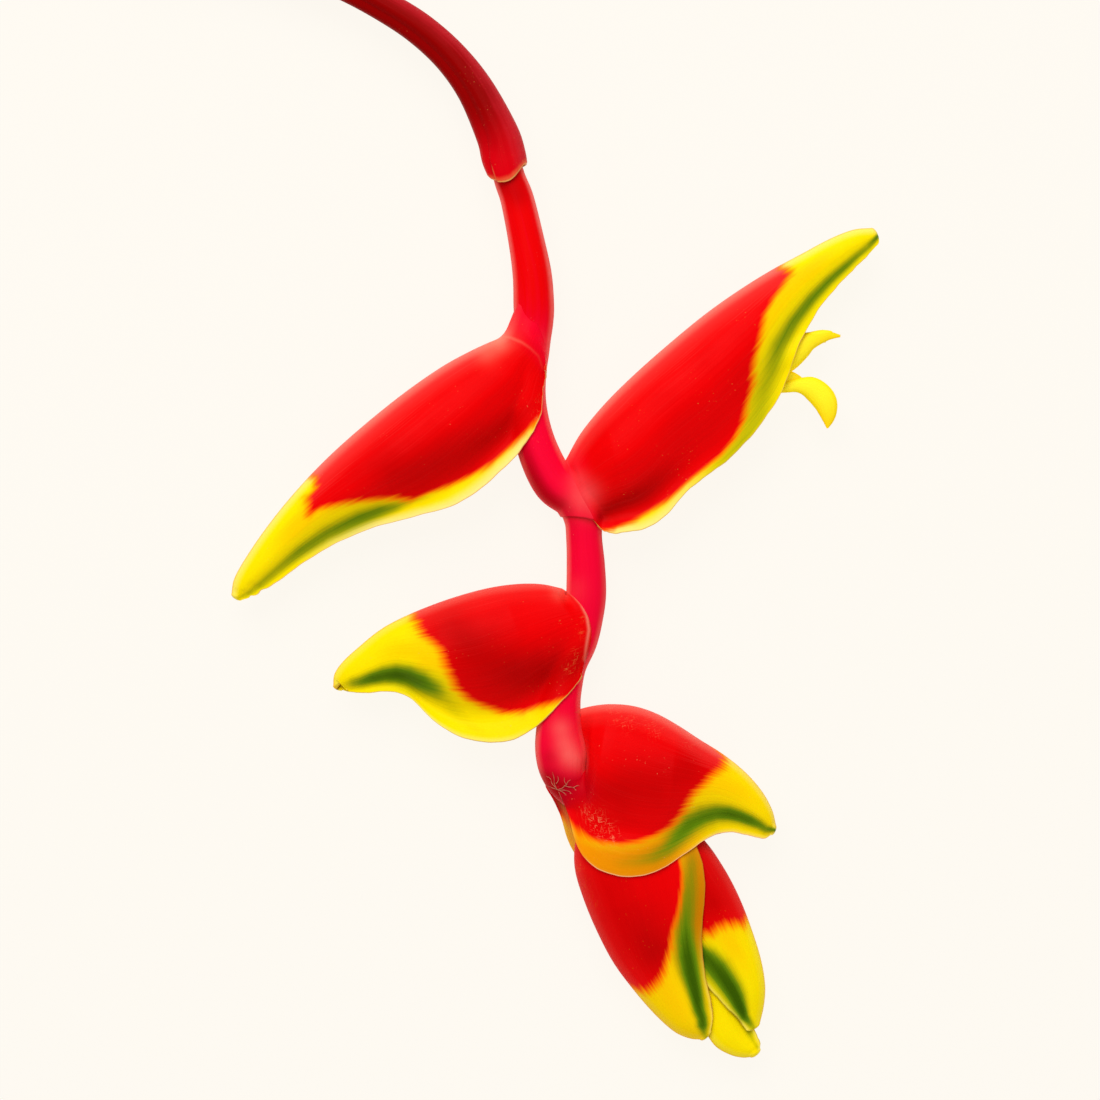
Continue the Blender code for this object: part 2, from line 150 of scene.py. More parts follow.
BRACT_3 = [
    (14, -25.6, 19.6, -44.5, 4.3), (8.8, -24.5, 18.2, -49, 2.2), (2.5, -24.5, 13.5, -54.2, 0.8),
    (-4.5, -25.5, 7.8, -60, 0), (-12, -27.5, -0.2, -64, 0), (-19.2, -30, -10, -63.2, 0),
    (-26, -32.9, -17.8, -59, 0), (-31.6, -36, -23.9, -53, 0), (-37, -40.4, -29.5, -51.4, 0),
    (-40.8, -43.9, -35.2, -51.8, 0), (-42.9, -47, -39, -51.5, 0), (-43.2, -49.8, -40.8, -51, 0),
]
BRACT_4 = [
    (16.8, -56.2, 10.5, -72.2, 5), (18.2, -55.8, 12.8, -76, 5.1), (22, -54.9, 15.5, -81.8, 2.5),
    (26.5, -54.5, 17.8, -90.2, 0.8), (32, -55, 22.5, -95.5, 0), (37.5, -56.8, 30, -97.8, 0),
    (43, -59.8, 38, -96.2, 0), (48.5, -63.4, 45, -91.8, 0), (54.1, -66.9, 50.8, -87.8, 0),
    (59.5, -71.2, 56.2, -86.5, 0), (63.8, -76, 61, -87.5, 0), (66.5, -80.8, 64.5, -88.2, 0),
    (67.5, -84.8, 66.2, -87.2, 0),
]
BRACT_5 = [
    (18.8, -85, 30.5, -76.8, 0), (17.2, -89.8, 37.2, -79.5, 0), (17.2, -95.8, 44.2, -84.8, 0),
    (19.1, -102.5, 48.2, -91.5, 0), (22.2, -110.2, 49.8, -99.2, 0), (26.6, -118.8, 49.2, -107.5, 0),
    (31.8, -125.9, 49, -115.5, 0), (37.1, -132, 50, -123, 0), (42, -136.4, 51.2, -128.5, 0),
    (45.8, -138.1, 51.8, -132.5, 0), (48.5, -138.4, 51.2, -136, 0),
]
BRACT_6 = [
    (37.2, -81.5, 32, -89, 0), (44.2, -83.8, 33, -95.5, 0), (50, -89, 35.5, -101.8, 0),
    (54.8, -96, 38.8, -108, 0), (58.5, -103.2, 43, -114.8, 0), (61.5, -111, 47.2, -121.2, 0),
    (63.8, -118.5, 51.8, -126.8, 0), (64.8, -124.8, 55.2, -130.5, 0), (64.5, -129.8, 57.8, -133, 0),
    (63.5, -134.2, 60, -135.8, 0),
]
BRACT_7 = [
    (37.2, -96.5, 42.5, -94, 0), (38, -103, 46.5, -98.5, 0), (39.8, -110.5, 50.5, -104.8, 0),
    (42.2, -118, 54, -112.2, 0), (45.2, -125.5, 57.8, -119.8, 0), (48.2, -133, 59.5, -126.8, 0),
    (51.8, -139.5, 60.8, -132, 0), (55.8, -142.1, 62.5, -136.8, 0), (59, -142.9, 63.5, -138.8, 0),
    (61, -142.8, 63.5, -140.5, 0),
]
# The boundary of each bract's red, and the points that close the outline round its base.
BRACT_1_RED = [
    (-50, 6), (-47.2, 2), (-47, -0.5), (-49, -2.8), (-48.8, -6.5), (-46.2, -5), (-40.2, -3.8),
    (-36, -3.2), (-27.5, -2.5), (-23.2, -3), (-19, -1.2), (-14.2, 0.5), (-8.8, 3.1), (-3.5, 6.2),
    (0.8, 10), (4.5, 13.5), (8.5, 18), (12.5, 22.5),
]
BRACT_1_CLOSING = [(23.5, 36.5), (-6.5, 51.5), (-51.5, 21.5)]
BRACT_2_RED = [
    (65.5, 57.8), (67.8, 54.2), (70.5, 52.8), (69.2, 50.8), (66.5, 47), (64.2, 42.8), (63.2, 37),
    (61.9, 32.8), (61.1, 28.5), (61, 25), (59.8, 20.8), (58.8, 16.5), (56.6, 11.8), (53.5, 8.1),
    (49.8, 5), (46, 2), (43, -0.8), (39.8, -3.4), (35.5, -6.1), (30.8, -8.8), (26.5, -10.4), (21, -11.8),
]
BRACT_2_CLOSING = [(8.5, -18.5), (-1.5, 1.5), (23.5, 36.5), (48.5, 61.5)]
BRACT_3_RED = [
    (-24.2, -27.5), (-22.6, -31.5), (-21.2, -34.5), (-19.8, -37), (-17, -39), (-15.1, -41.2),
    (-14.5, -44.5), (-12.8, -47.4), (-11.8, -50.2), (-8.6, -53), (-5.2, -54.6), (-0.5, -56), (4.5, -56),
    (8.4, -54.5), (12.5, -53.5), (18.5, -52),
]
BRACT_3_CLOSING = [(33.5, -41), (28.5, -18.5), (-21.5, -18.5)]
BRACT_4_RED = [
    (50, -62.5), (51.8, -65.5), (53.9, -67.5), (53.5, -70), (50.5, -72), (48.2, -74.8), (45.5, -77.2),
    (43.5, -81.5), (40.6, -84.8), (36.8, -87.1), (32.6, -88.6), (28.4, -89.2), (23.8, -88.6),
    (20.8, -87.5), (18.5, -86), (16.8, -84.2), (14.8, -82.8), (12.5, -81.5), (10, -80),
]
BRACT_4_CLOSING = [(3.5, -73.5), (13.5, -43.5), (48.5, -51)]
BRACT_5_RED = [
    (27.8, -124.5), (31, -124.8), (32.8, -125.2), (35, -125.5), (37.2, -123.9), (38.8, -120.9),
    (39.5, -118.2), (40.6, -114.9), (41, -110.8), (42.5, -107), (43.2, -103.5), (43.6, -99.5),
    (43.6, -96.5), (43, -93.5), (41.5, -87.2), (38.5, -78.5),
]
BRACT_5_CLOSING = [(8.5, -78.5), (8.5, -103.5)]
BRACT_6_RED = [
    (63.5, -105), (60, -106.8), (58.8, -108.8), (55.2, -108.5), (52.5, -109.5), (50.8, -111),
    (49.2, -111), (46, -109.8), (41, -104.8), (33.5, -98.5),
]
BRACT_6_CLOSING = [(28.5, -73.5), (53.5, -76), (73.5, -93.5)]
# The green line of each bract from tip to base: x, y, half breadth, strength.
BRACT_1_GREEN = [
    (-66.8, -27.9, 0.5, 0.23), (-64.5, -26.9, 0.9, 0.38), (-61.4, -24.6, 1.4, 0.47),
    (-57.2, -21, 1.6, 0.5), (-51.3, -16.2, 2, 0.63), (-44.6, -11.8, 2.4, 0.63), (-36.6, -8.1, 2.3, 0.72),
    (-31.5, -6.2, 2, 0.7), (-27.9, -5.2, 1.6, 0.59), (-23.2, -3.5, 1, 0.27), (-19, -2.8, 0.6, 0.16),
    (-16.5, -2, 0.5, 0),
]
BRACT_2_GREEN = [
    (92.9, 62.4, 0.7, 0.75), (90.5, 59.7, 1.2, 0.54), (88, 57.7, 1.2, 0.6), (84.8, 54.8, 1.4, 0.7),
    (80.7, 51.2, 1.6, 0.7), (76.3, 46.6, 1.9, 0.7), (71.9, 41, 2.1, 0.67), (68.3, 35, 2.6, 0.6),
    (65.6, 26.9, 3.4, 0.46), (62.8, 17.8, 3.8, 0.44), (59, 11.2, 3.2, 0.42), (54, 5.2, 2.8, 0.38),
    (49.2, 0.8, 2.2, 0.3), (44.5, -2.8, 1.8, 0.12), (41.5, -4.5, 1.2, 0),
]
BRACT_3_GREEN = [
    (-40.2, -49.7, 1.2, 0.2), (-38.5, -49.3, 1.6, 0.5), (-36.2, -48.9, 1.7, 0.7), (-33.3, -48, 1.9, 0.9),
    (-30.4, -47.3, 2.3, 0.92), (-27.4, -47.1, 2.6, 1), (-24.5, -47.6, 2.9, 0.95), (-21.2, -49, 3.1, 0.9),
    (-18, -50.8, 3.1, 0.7), (-15, -53.5, 2.8, 0.35), (-11, -58, 2.2, 0.2), (-5.5, -62.2, 1.8, 0.13),
    (-0.2, -63.2, 1.5, 0),
]
BRACT_4_GREEN = [
    (67.2, -86, 0.6, 0.75), (64.9, -85.7, 1.4, 0.66), (63.2, -84.6, 1.6, 0.74), (61, -83.6, 1.8, 0.87),
    (58.4, -82.6, 2, 0.9), (55.6, -81.9, 2.2, 0.93), (52.5, -81.8, 2.6, 0.82), (49.4, -82.7, 3, 0.8),
    (46.2, -84.5, 3.1, 0.83), (43.2, -87.5, 2.8, 0.78), (40.2, -90.8, 2.5, 0.62), (36.8, -92.8, 2.4, 0.5),
    (33, -93.8, 2.1, 0.36), (29, -94.2, 2, 0.24), (23.5, -93.5, 1.8, 0),
]
BRACT_5_GREEN = [
    (47, -87.2, 2, 0.1), (46.5, -94, 2.2, 0.42), (46, -100, 2.4, 0.52), (45.5, -105.4, 2.5, 0.62),
    (45, -109.6, 2.5, 0.74), (45, -113.7, 2.7, 0.93), (45.4, -117.7, 2.9, 1.07),
    (46.1, -121.5, 2.7, 1.11), (47, -125.1, 2.2, 1.12), (47.7, -128.2, 1.9, 1.11), (48.3, -131, 1.8, 1),
    (49, -133, 1.6, 0.96), (49.2, -134.9, 1.6, 0.92), (49.5, -136.2, 1.4, 0.6), (49.8, -137.5, 1, 0.45),
]
BRACT_6_GREEN = [
    (46, -115, 2.2, 1), (47.5, -116.3, 2.5, 1.05), (50.5, -118.5, 3.1, 1), (52.9, -121, 3.3, 1.05),
    (54.8, -123.5, 3, 1.1), (56.3, -125.8, 2.8, 1.13), (57.4, -127.8, 2.5, 1.12),
    (58.2, -129.7, 2.1, 1.13), (58.9, -131.2, 1.7, 1.12), (59.5, -132.6, 1.4, 1),
    (60.5, -133.8, 1.2, 0.73), (61.5, -135.1, 1.1, 0.5),
]
BRACT_7_GREEN = [
    (56.8, -130.5, 1.2, 0.6), (59, -132.5, 1.2, 0.65), (60, -134.6, 1.2, 0.6), (60.9, -136.8, 1.1, 0.46),
    (61.6, -138.3, 0.8, 0.34), (62.1, -139.2, 0.7, 0.28), (62.9, -140.3, 0.6, 0.3),
]
# Bands of painted shade, a deeper red: x, y, half breadth, strength.
BRACT_1_SHADES = [
    (6.5, 20.5, 2, 0.15), (-0.8, 14, 3.2, 0.6), (-10.8, 7.8, 5.5, 0.5), (-21.5, 4.5, 6.5, 0.5),
    (-29.5, 4, 6, 0.4), (-35.2, 3.5, 4.5, 0.2),
]
BRACT_2_SHADES = [
    (22.5, -8.8, 1.2, 0.5), (23.5, -7.8, 1.8, 0.9), (25.2, -6.2, 2.2, 0.85), (34, -2.2, 3, 0.75),
    (43, 4, 3, 0.3), (48.5, 9, 3, 0),
]
BRACT_3_SHADES = [
    (20, -43.2, 3.5, 0.6), (16, -45.2, 5, 0.6), (10.2, -46.8, 6, 0.7), (3.5, -46.8, 7, 0.7),
    (-2, -44.8, 8, 0.66), (-8.5, -41, 8, 0.7), (-13.5, -36.2, 6, 0.5),
]
BRACT_4_SHADES = [(21.5, -76, 4.5, 0.3), (29, -76, 6.5, 0.5), (37.2, -74, 7, 0.5), (45.5, -71, 5.5, 0.5)]
BRACT_5_SHADES = [
    (23.5, -93.5, 10, 0.25), (26.5, -103.5, 8.5, 0.35), (31.5, -109.8, 7.5, 0.45),
    (36.5, -116, 6.5, 0.65),
]
BRACT_6_SHADES = [(46, -91, 7.5, 0.3), (48.8, -97.5, 6.5, 0.4), (51.5, -104, 5, 0.55)]
# Soft spots of painted highlight, on bract 4 of painted shade: x, y, reach, strength.
BRACT_1_HIGHLIGHT_SPOTS = [(-1.8, 36.2, 2.5, 0.45), (-5, 33.8, 2.8, 0.25)]
BRACT_2_HIGHLIGHT_SPOTS = [(20.2, -2, 3.2, 0.5), (18, 2, 2.2, 0.25)]
BRACT_3_HIGHLIGHT_SPOTS = [(13.5, -26.2, 2, 0.25)]
BRACT_4_SHADE_SPOTS = [
    (15, -75.5, 3.5, 0.9), (18, -72, 2.5, 0.6), (13.2, -79.2, 2.2, 0.8), (19.5, -76.5, 3, 0.35),
]
RACHIS_HIGHLIGHT_SPOTS = [
    (20.5, -2.8, 4, 0.58), (17.8, 2, 2.2, 0.25), (8.5, 33.5, 3.5, 0.3), (6.8, 28.5, 2.5, 0.2),
    (17, -26, 3.2, 0.1), (14, -60.5, 2.5, 0.4), (15, -64.2, 2.5, 0.5), (16, -67.5, 2.8, 0.6),
    (17.8, -69, 2.2, 0.4),
]
# Soft spots of painted shadow, likewise.
RACHIS_SHADOWS = [
    (13.5, -76.2, 4.2, 0.97), (9.8, -73.8, 3.2, 0.85), (10.8, -67.8, 2, 0.3), (17.8, -75, 2.2, 0.8),
    (3, 72.5, 3, 0.4), (1.5, 76.5, 4, 0.5), (-1.5, 75.5, 3, 0.5),
]
# Worn and scratched places, likewise.
BRACT_1_SCUFFS = [(8.8, 17.5, 1.5, 0.7), (9.2, 21.5, 1.2, 0.4)]
BRACT_3_SCUFFS = [
    (19, -37, 1, 0.3), (17.8, -42.2, 1.5, 0.45), (16, -45.5, 1.5, 0.4), (19.8, -32.8, 1, 0.35),
]
BRACT_4_SCUFFS = [
    (20.5, -81.5, 1.5, 0.5), (22.5, -83.5, 2, 0.8), (25, -86.5, 2, 0.8), (26.8, -88, 1.5, 0.5),
    (26.5, -57, 2, 0.2), (30.5, -58.8, 2, 0.25), (37.2, -60.5, 2.2, 0.25), (46, -63, 2, 0.25),
]
BRACT_5_SCUFFS = [(18.5, -95.5, 1.5, 0.35), (19.5, -99.8, 1.5, 0.3), (21, -104, 1.5, 0.3)]
# Painted highlight along the edge of a bract's base, as lines: x, y, half breadth, strength.
BRACT_1_EDGE_HIGHLIGHT = [
    (-3, 36.25, 0.5, 0.35), (-0.83, 37.33, 0.55, 0.42), (1, 37.12, 0.5, 0.32), (4, 35.88, 0.35, 0.18),
    (6, 34.5, 0.3, 0.1), (8.12, 32.5, 0.28, 0.06), (9.25, 29.25, 0.28, 0.04),
]
BRACT_3_EDGE_HIGHLIGHT = [
    (15, -26, 0.35, 0.2), (17, -27.5, 0.35, 0.5), (18.75, -29.38, 0.38, 0.65), (20.25, -32.5, 0.35, 0.65),
    (20.75, -36, 0.35, 0.6), (20.07, -40.18, 0.35, 0.45), (19.62, -43.5, 0.3, 0.3),
]
# Where the stalk's lower rim stands: station, height, run-up, drop, and how late it comes on the right.
STALK_RIMS = [(24.97, 0.38, 1.2, 0.05, 0.36)]
# The stalk's soft swellings: station, reach along, angle, reach round and height.
STALK_SWELLINGS = [(24, 0.9, 0.7, 0.8, 0.5), (35.3, 1.3, 0.25, 0.7, 1.5)]


class Side(Enum):
    """The two flanks of a folded bract."""

    FRONT = 1
    BACK = -1


def smoothstep(x: Array) -> Array:
    """An even rise from 0 to 1: 3x squared less 2x cubed, held outside that range."""
    x = np.clip(x, 0, 1)
    return x * x * (3 - 2 * x)


def bell(x: Array, centre: float, width: float) -> Array:
    """A bell of height 1: e to the minus square of the distance over the width."""
    return np.exp(-(((x - centre) / width) ** 2))


def spline(stations: Rows, places: Array) -> Array:
    """Points along a smooth curve through rows of numbers.

    The curve is a Catmull-Rom cubic: each stretch leaves along the line that joins the
    stations on both sides of its start.

    Args:
        stations: the rows that the curve passes through.
        places: where to read it, from 0 at the first row to 1 at the last.

    Returns:
        One row of numbers for each place.
    """
    rows = np.asarray(stations, float)
    rows = np.vstack([2 * rows[0] - rows[1], rows, 2 * rows[-1] - rows[-2]])
    place = places * (len(stations) - 1)
    index = np.clip(place.astype(int), 0, len(stations) - 2)
    f = (place - index)[:, None]
    a, b, c, d = (rows[index + k] for k in range(4))
    line = 2 * b + (c - a) * f
    return 0.5 * (line + (2 * a - 5 * b + 4 * c - d) * f**2 + (3 * b - a - 3 * c + d) * f**3)


def softened(rows: Array, reach: int) -> Array:
    """Rows evened out along their length, with both ends held.

    Each row becomes the mean of its neighbours, weighted by a bell. Past an end the rows
    go on as the reflection of those before it through that end.

    Args:
        rows: rows of numbers along the first axis.
        reach: how many rows the bell takes in on each side.

    Returns:
        Rows of the same shape.
    """
    before = 2 * rows[:1] - rows[reach:0:-1]
    after = 2 * rows[-1:] - rows[-2 : -reach - 2 : -1]
    longer = np.concatenate([before, rows, after])
    weights = bell(np.arange(-reach, reach + 1), 0, reach / 2)
    weights /= weights.sum()
    return sum(w * longer[k : k + len(rows)] for k, w in enumerate(weights))


def as_seen(points: Array) -> Array:
    """Where the camera sees points of some height, marked on the plane of the axis."""
    share = CAMERA_HEIGHT / (CAMERA_HEIGHT - points[..., 2:3])
    return CAMERA_SPOT + (points[..., :2] - CAMERA_SPOT) * share


def from_seen(spots: Array, height: Array) -> Array:
    """The plane places that look to be at these spots when they stand at some height."""
    return CAMERA_SPOT + (spots - CAMERA_SPOT) * (1 - height[..., None] / CAMERA_HEIGHT)


def level(points: Array) -> Array:
    """Plane points or directions with a height of nothing."""
    return np.concatenate([points, np.zeros(points.shape[:-1] + (1,))], axis=-1)


def directions(path: Array) -> tuple[Array, Array]:
    """Unit vectors along a plane path, and square to it on its left.

    Args:
        path: plane points in order.

    Returns:
        Both vectors for each point.
    """
    along = np.gradient(path, axis=0)
    along /= np.linalg.norm(along, axis=1)[:, None]
    return along, np.stack([-along[:, 1], along[:, 0]], 1)


def arc_lengths(path: Array) -> Array:
    """The length of a path up to each of its points."""
    steps = np.linalg.norm(np.diff(path, axis=0), axis=1)
    return np.concatenate([[0], np.cumsum(steps)])


def spokes(square: Array, turn: Array, up: Array | None = None) -> Array:
    """Directions round a path: the turn's cosine to its left, and its sine upwards.

    Args:
        square: plane vectors square to the path.
        turn: the angles of the directions.
        up: their heights, where these aren't the sine.

    Returns:
        Vectors by place on the path and by angle.
    """
    rays = level(square)[:, None] * np.cos(turn)[:, None]
    rays[..., 2] += np.sin(turn) if up is None else up
    return rays


def nearest_on_line(spots: Array, line: Array) -> tuple[Array, Array]:
    """The distance from each spot to a line of points, and the line's values there.

    Args:
        spots: plane points, any shape with x and y last.
        line: rows of x, y and any further values, which are read off between the points.

    Returns:
        The distance, and the further values at the nearest place on the line.
    """
    a, b = line[:-1], line[1:]
    step = b[:, :2] - a[:, :2]
    away = spots[..., None, :] - a[:, :2]
    share = np.clip((away * step).sum(-1) / (step**2).sum(-1), 0, 1)
    distance = np.linalg.norm(away - share[..., None] * step, axis=-1)
    nearest = distance.argmin(-1)
    share = np.take_along_axis(share, nearest[..., None], -1)
    values = a[nearest, 2:] + share * (b[nearest, 2:] - a[nearest, 2:])
    return distance.min(-1), values


def inside_outline(spots: Array, outline: Array) -> Array:
    """Whether each spot lies in an outline: a ray from it crosses an odd number of sides.

    Args:
        spots: plane points, x and y last.
        outline: the corners in order.

    Returns:
        True or false for each spot.
    """
    a, b = outline, np.roll(outline, -1, axis=0)
    x, y = spots[..., 0:1], spots[..., 1:2]
    spans = (a[:, 1] > y) != (b[:, 1] > y)
    rise = np.where(b[:, 1] == a[:, 1], 1, b[:, 1] - a[:, 1])
    crossing = a[:, 0] + (y - a[:, 1]) / rise * (b[:, 0] - a[:, 0])
    return (spans & (x < crossing)).sum(-1) % 2 == 1


def spotted(spots: Array, rows: Rows) -> Array:
    """How far some round soft spots cover a place: 1 less what all of them leave bare.

    Args:
        spots: plane points, x and y last.
        rows: x, y, reach and strength of each soft spot.

    Returns:
        From 0 to 1 for each place.
    """
    left = np.ones(spots.shape[:-1])
    for x, y, reach, strength in rows:
        left *= 1 - strength * bell(np.linalg.norm(spots - (x, y), axis=-1), 0, reach)
    return 1 - left


def soft_band(spots: Array, rows: Rows) -> Array:
    """How far a soft band along a line covers a place: a bell of the distance from it.

    Args:
        spots: plane points, x and y last.
        rows: x, y, half breadth and strength along the line, or nothing.

    Returns:
        From 0 to the line's strength for each place.
    """
    if not rows:
        return np.zeros(spots.shape[:-1])
    away, held = nearest_on_line(spots, np.array(rows))
    return held[..., 1] * bell(away / np.maximum(held[..., 0], 0.2), 0, 1)


def smooth_greater(a: Array, b: Array, softness: float) -> Array:
    """The greater of two, rounded: half of a + b + the root of (a - b) squared + softness."""
    return (a + b + np.sqrt((a - b) ** 2 + softness)) / 2


def stalk_height(spots: Array, margin: Array, stalk: Array) -> Array:
    """The least height at which a flank clears a stalk.

    The stalk is a row of balls. Over each ball the height is that of the ball grown by
    the margin, and past four fifths of its reach it falls away in a straight line.

    Args:
        spots: plane points, x and y last.
        margin: the gap to keep at each spot.
        stalk: rows of x, y and radius.

    Returns:
        A height for each spot.
    """
    away = np.linalg.norm(spots[..., None, :] - stalk[:, :2], axis=-1)
    reach = stalk[:, 2] + margin[..., None]
    arch = np.sqrt(np.maximum(reach**2 - away**2, 0.36 * reach**2))
    return (arch - 4 / 3 * np.maximum(away - 0.8 * reach, 0)).max(-1)


def stalk_surface(spots: Array, stalk: Array) -> Array:
    """The stalk's own height over each spot, and nothing beside it."""
    away = np.linalg.norm(spots[..., None, :] - stalk[:, :2], axis=-1)
    return np.sqrt(np.maximum(stalk[:, 2] ** 2 - away**2, 0)).max(-1)


@dataclass
class Underlay:
    """The height of the younger bracts under a flank, kept as a raster over the plane.

    Attributes:
        low: the raster's lowest x and y.
        size: how far it reaches from there.
        cell: the side of a cell.
    """

    low: tuple[float, float] = (5.0, -150.0)
    size: tuple[float, float] = (70.0, 90.0)
    cell: float = 0.35
    heights: Array = field(init=False)

    def __post_init__(self) -> None:
        """Starts with nothing anywhere."""
        self.heights = np.full([int(length / self.cell) for length in self.size], NOWHERE)

    def press(self, points: Array) -> None:
        """Raises each cell to the highest of the points over it.

        Args:
            points: rows of x, y and height.
        """
        place = np.round((points[:, :2] - self.low) / self.cell).astype(int)
        held = ((place >= 0) & (place < self.heights.shape)).all(1)
        place = place[held]
        np.maximum.at(self.heights, (place[:, 0], place[:, 1]), points[held, 2])

    def drape(self) -> Array:
        """A soft cover over the heights.

        Each cell takes the greatest of its neighbours' heights less their squared
        distance over the rounding, first along x and then along y, and the result is
        evened out a little.

        Returns:
            The raster of the cover.
        """
        reach = int(DRAPE_REACH / self.cell)
        cover = self.heights
        for axis in (0, 1):
            wide = [(0, 0), (0, 0)]
            wide[axis] = (reach, reach)
            padded = np.pad(cover, wide, constant_values=2 * NOWHERE)
            count = cover.shape[axis]
            cover = np.full(cover.shape, 2 * NOWHERE)
            for k in range(2 * reach + 1):
                layer = np.take(padded, np.arange(k, k + count), axis=axis)
                cover = np.maximum(cover, layer - ((k - reach) * self.cell) ** 2 / DRAPE_ROUNDING)
        for axis in (0, 1):
            cover = np.swapaxes(softened(np.swapaxes(cover, 0, axis), 4), 0, axis)
        return cover

    def read(self, cover: Array, spots: Array) -> Array:
        """The cover's height at each spot, read between the cells in a straight line.

        Args:
            cover: its raster.
            spots: plane points, x and y last.

        Returns:
            A height for each spot.
        """
        place = (spots - self.low) / self.cell
        corner = np.clip(place.astype(int), 0, np.array(cover.shape) - 2)
        share = np.clip(place - corner, 0, 1)
        i, j, f, g = corner[..., 0], corner[..., 1], share[..., 0], share[..., 1]
        near = cover[i, j] * (1 - f) + cover[i + 1, j] * f
        far = cover[i, j + 1] * (1 - f) + cover[i + 1, j + 1] * f
        return near * (1 - g) + far * g


def placed(name: str, data: bpy.types.ID) -> bpy.types.Object:
    """An object for some data, put into the scene at the origin.

    Args:
        name: the object's name.
        data: its mesh, light or camera.

    Returns:
        The object.
    """
    made = bpy.data.objects.new(name, data)
    bpy.context.scene.collection.objects.link(made)
    return made


@dataclass
class Skin:
    """A closed surface with values at its points.

    Attributes:
        points: places in millimetres, heights from the plane of the stalk's axis.
        faces: the corner numbers, as one array of quads and perhaps one of triangles.
        values: named numbers at the points, which the materials read.
        across: how far each point lies across the veins, in millimetres.
        along: how far it lies along them.
    """

    points: Array
    faces: list[Array]
    values: dict[str, Array]
    across: Array
    along: Array

    def make(
        self, name: str, node: str, material: bpy.types.Material, instead: bool = True
    ) -> bpy.types.Object:
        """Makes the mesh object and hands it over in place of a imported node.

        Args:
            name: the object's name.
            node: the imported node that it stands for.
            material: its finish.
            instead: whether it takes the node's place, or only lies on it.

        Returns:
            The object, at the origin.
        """
        corners = self.points[self.faces[0]]
        volume = (corners[:, 0] * np.cross(corners[:, 1], corners[:, 2])).sum()
        step = 1 if volume > 0 else -1
        faces = [face for part in self.faces for face in part[:, ::step].tolist()]
        mesh = bpy.data.meshes.new(name)
        mesh.from_pydata((self.points + (0, 0, AXIS_HEIGHT)) * MM, [], faces)
        for key, numbers in self.values.items():
            held = mesh.attributes.new(key, "FLOAT", "POINT")
            held.data.foreach_set("value", numbers.astype(np.float32).ravel())
        layer = mesh.uv_layers.new(name="veins")
        corner = np.empty(len(mesh.loops), np.int32)
        mesh.loops.foreach_get("vertex_index", corner)
        places = np.stack([self.across, self.along], 1)[corner]
        layer.data.foreach_set("uv", places.astype(np.float32).ravel())
        mesh.shade_smooth()
        mesh.validate()
        mesh.materials.append(material)
        made = placed(name, mesh)
        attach(made, BODY)
        if instead:
            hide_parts(node)
        log.info("%s: %d faces for %s", name, len(faces), node)
        return made


def grid_faces(rows: int, columns: int, wrap: bool = False) -> Array:
    """The four-cornered faces of a grid of points.

    Args:
        rows: how many rows of points there are.
        columns: how many points there are in a row.
        wrap: whether the last point of a row joins the first.

    Returns:
        Rows of four point numbers.
    """
    i, j = np.meshgrid(np.arange(rows - 1), np.arange(columns - (not wrap)), indexing="ij")
    after = (j + 1) % columns
    corners = [i * columns + j, i * columns + after, (i + 1) * columns + after]
    corners.append((i + 1) * columns + j)
    return np.stack([corner.ravel() for corner in corners], 1)


def shell_skin(
    outer: Array, inner: Array, values: dict[str, Array], inside: Array, across: Array, along: Array
) -> Skin:
    """A closed shell from the grids of its two faces: one over the other, all rims closed.

    Args:
        outer: the points of the outer face by row and column.
        inner: those of the inner face.
        values: named numbers, the same on both faces.
        inside: how far the inner face shows its lining.
        across: the way across the veins.
        along: the way along them.

    Returns:
        The surface.
    """
    shape = outer.shape[:2]
    grid = np.arange(shape[0] * shape[1]).reshape(shape)
    outer_faces = grid_faces(*shape)
    faces = [outer_faces, outer_faces[:, ::-1] + grid.size]
    for rim in (grid[0, ::-1], grid[-1], grid[:, 0], grid[::-1, -1]):
        here, after = rim[:-1], rim[1:]
        faces.append(np.stack([here, after, after + grid.size, here + grid.size], 1))
    both = {key: np.tile(np.broadcast_to(v, shape).ravel(), 2) for key, v in values.items()}
    both["inside"] = np.concatenate([0 * inside.ravel(), inside.ravel()])
    points = np.concatenate([outer.reshape(-1, 3), inner.reshape(-1, 3)])
    ways = (np.tile(np.broadcast_to(way, shape).ravel(), 2) for way in (across, along))
    return Skin(points, [np.concatenate(faces)], both, *ways)


def tube_skin(path: Array, rings: Array, values: dict[str, Array], across: Array) -> Skin:
    """A closed tube from rings of points, with a fan round a point amid each end.

    Args:
        path: the plane points that the rings go round.
        rings: their points by ring and by angle.
        values: named numbers at them.
        across: the way across the veins.

    Returns:
        The surface.
    """
    n, k = rings.shape[:2]
    here = np.arange(k)
    after = (here + 1) % k
    last = (n - 1) * k
    start = np.stack([0 * here + n * k, after, here], 1)
    end = np.stack([0 * here + n * k + 1, last + here, last + after], 1)
    points = np.concatenate([rings.reshape(-1, 3), rings[[0, -1]].mean(1)])
    spread = {key: np.broadcast_to(v, (n, k)) for key, v in values.items()}
    ends = {key: np.concatenate([v.ravel(), v[[0, -1], 0]]) for key, v in spread.items()}
    along = np.repeat(arc_lengths(path[:, :2]), k)
    across = np.concatenate([np.broadcast_to(across, (n, k)).ravel(), [0, 0]])
    along = np.concatenate([along, along[[0, -1]]])
    return Skin(points, [grid_faces(n, k, wrap=True), np.concatenate([start, end])], ends, across, along)


def merged(parts: list[Skin]) -> Skin:
    """Several tubes in one mesh.

    Args:
        parts: the tubes, with values of the same names.

    Returns:
        The surface.
    """
    shift = np.cumsum([0] + [len(part.points) for part in parts[:-1]])
    faces = [
        np.concatenate([part.faces[kind] + by for part, by in zip(parts, shift)])
        for kind in (0, 1)
    ]
    return Skin(
        np.concatenate([part.points for part in parts]),
        faces,
        {key: np.concatenate([x.values[key] for x in parts]) for key in parts[0].values},
        np.concatenate([part.across for part in parts]),
        np.concatenate([part.along for part in parts]),
    )


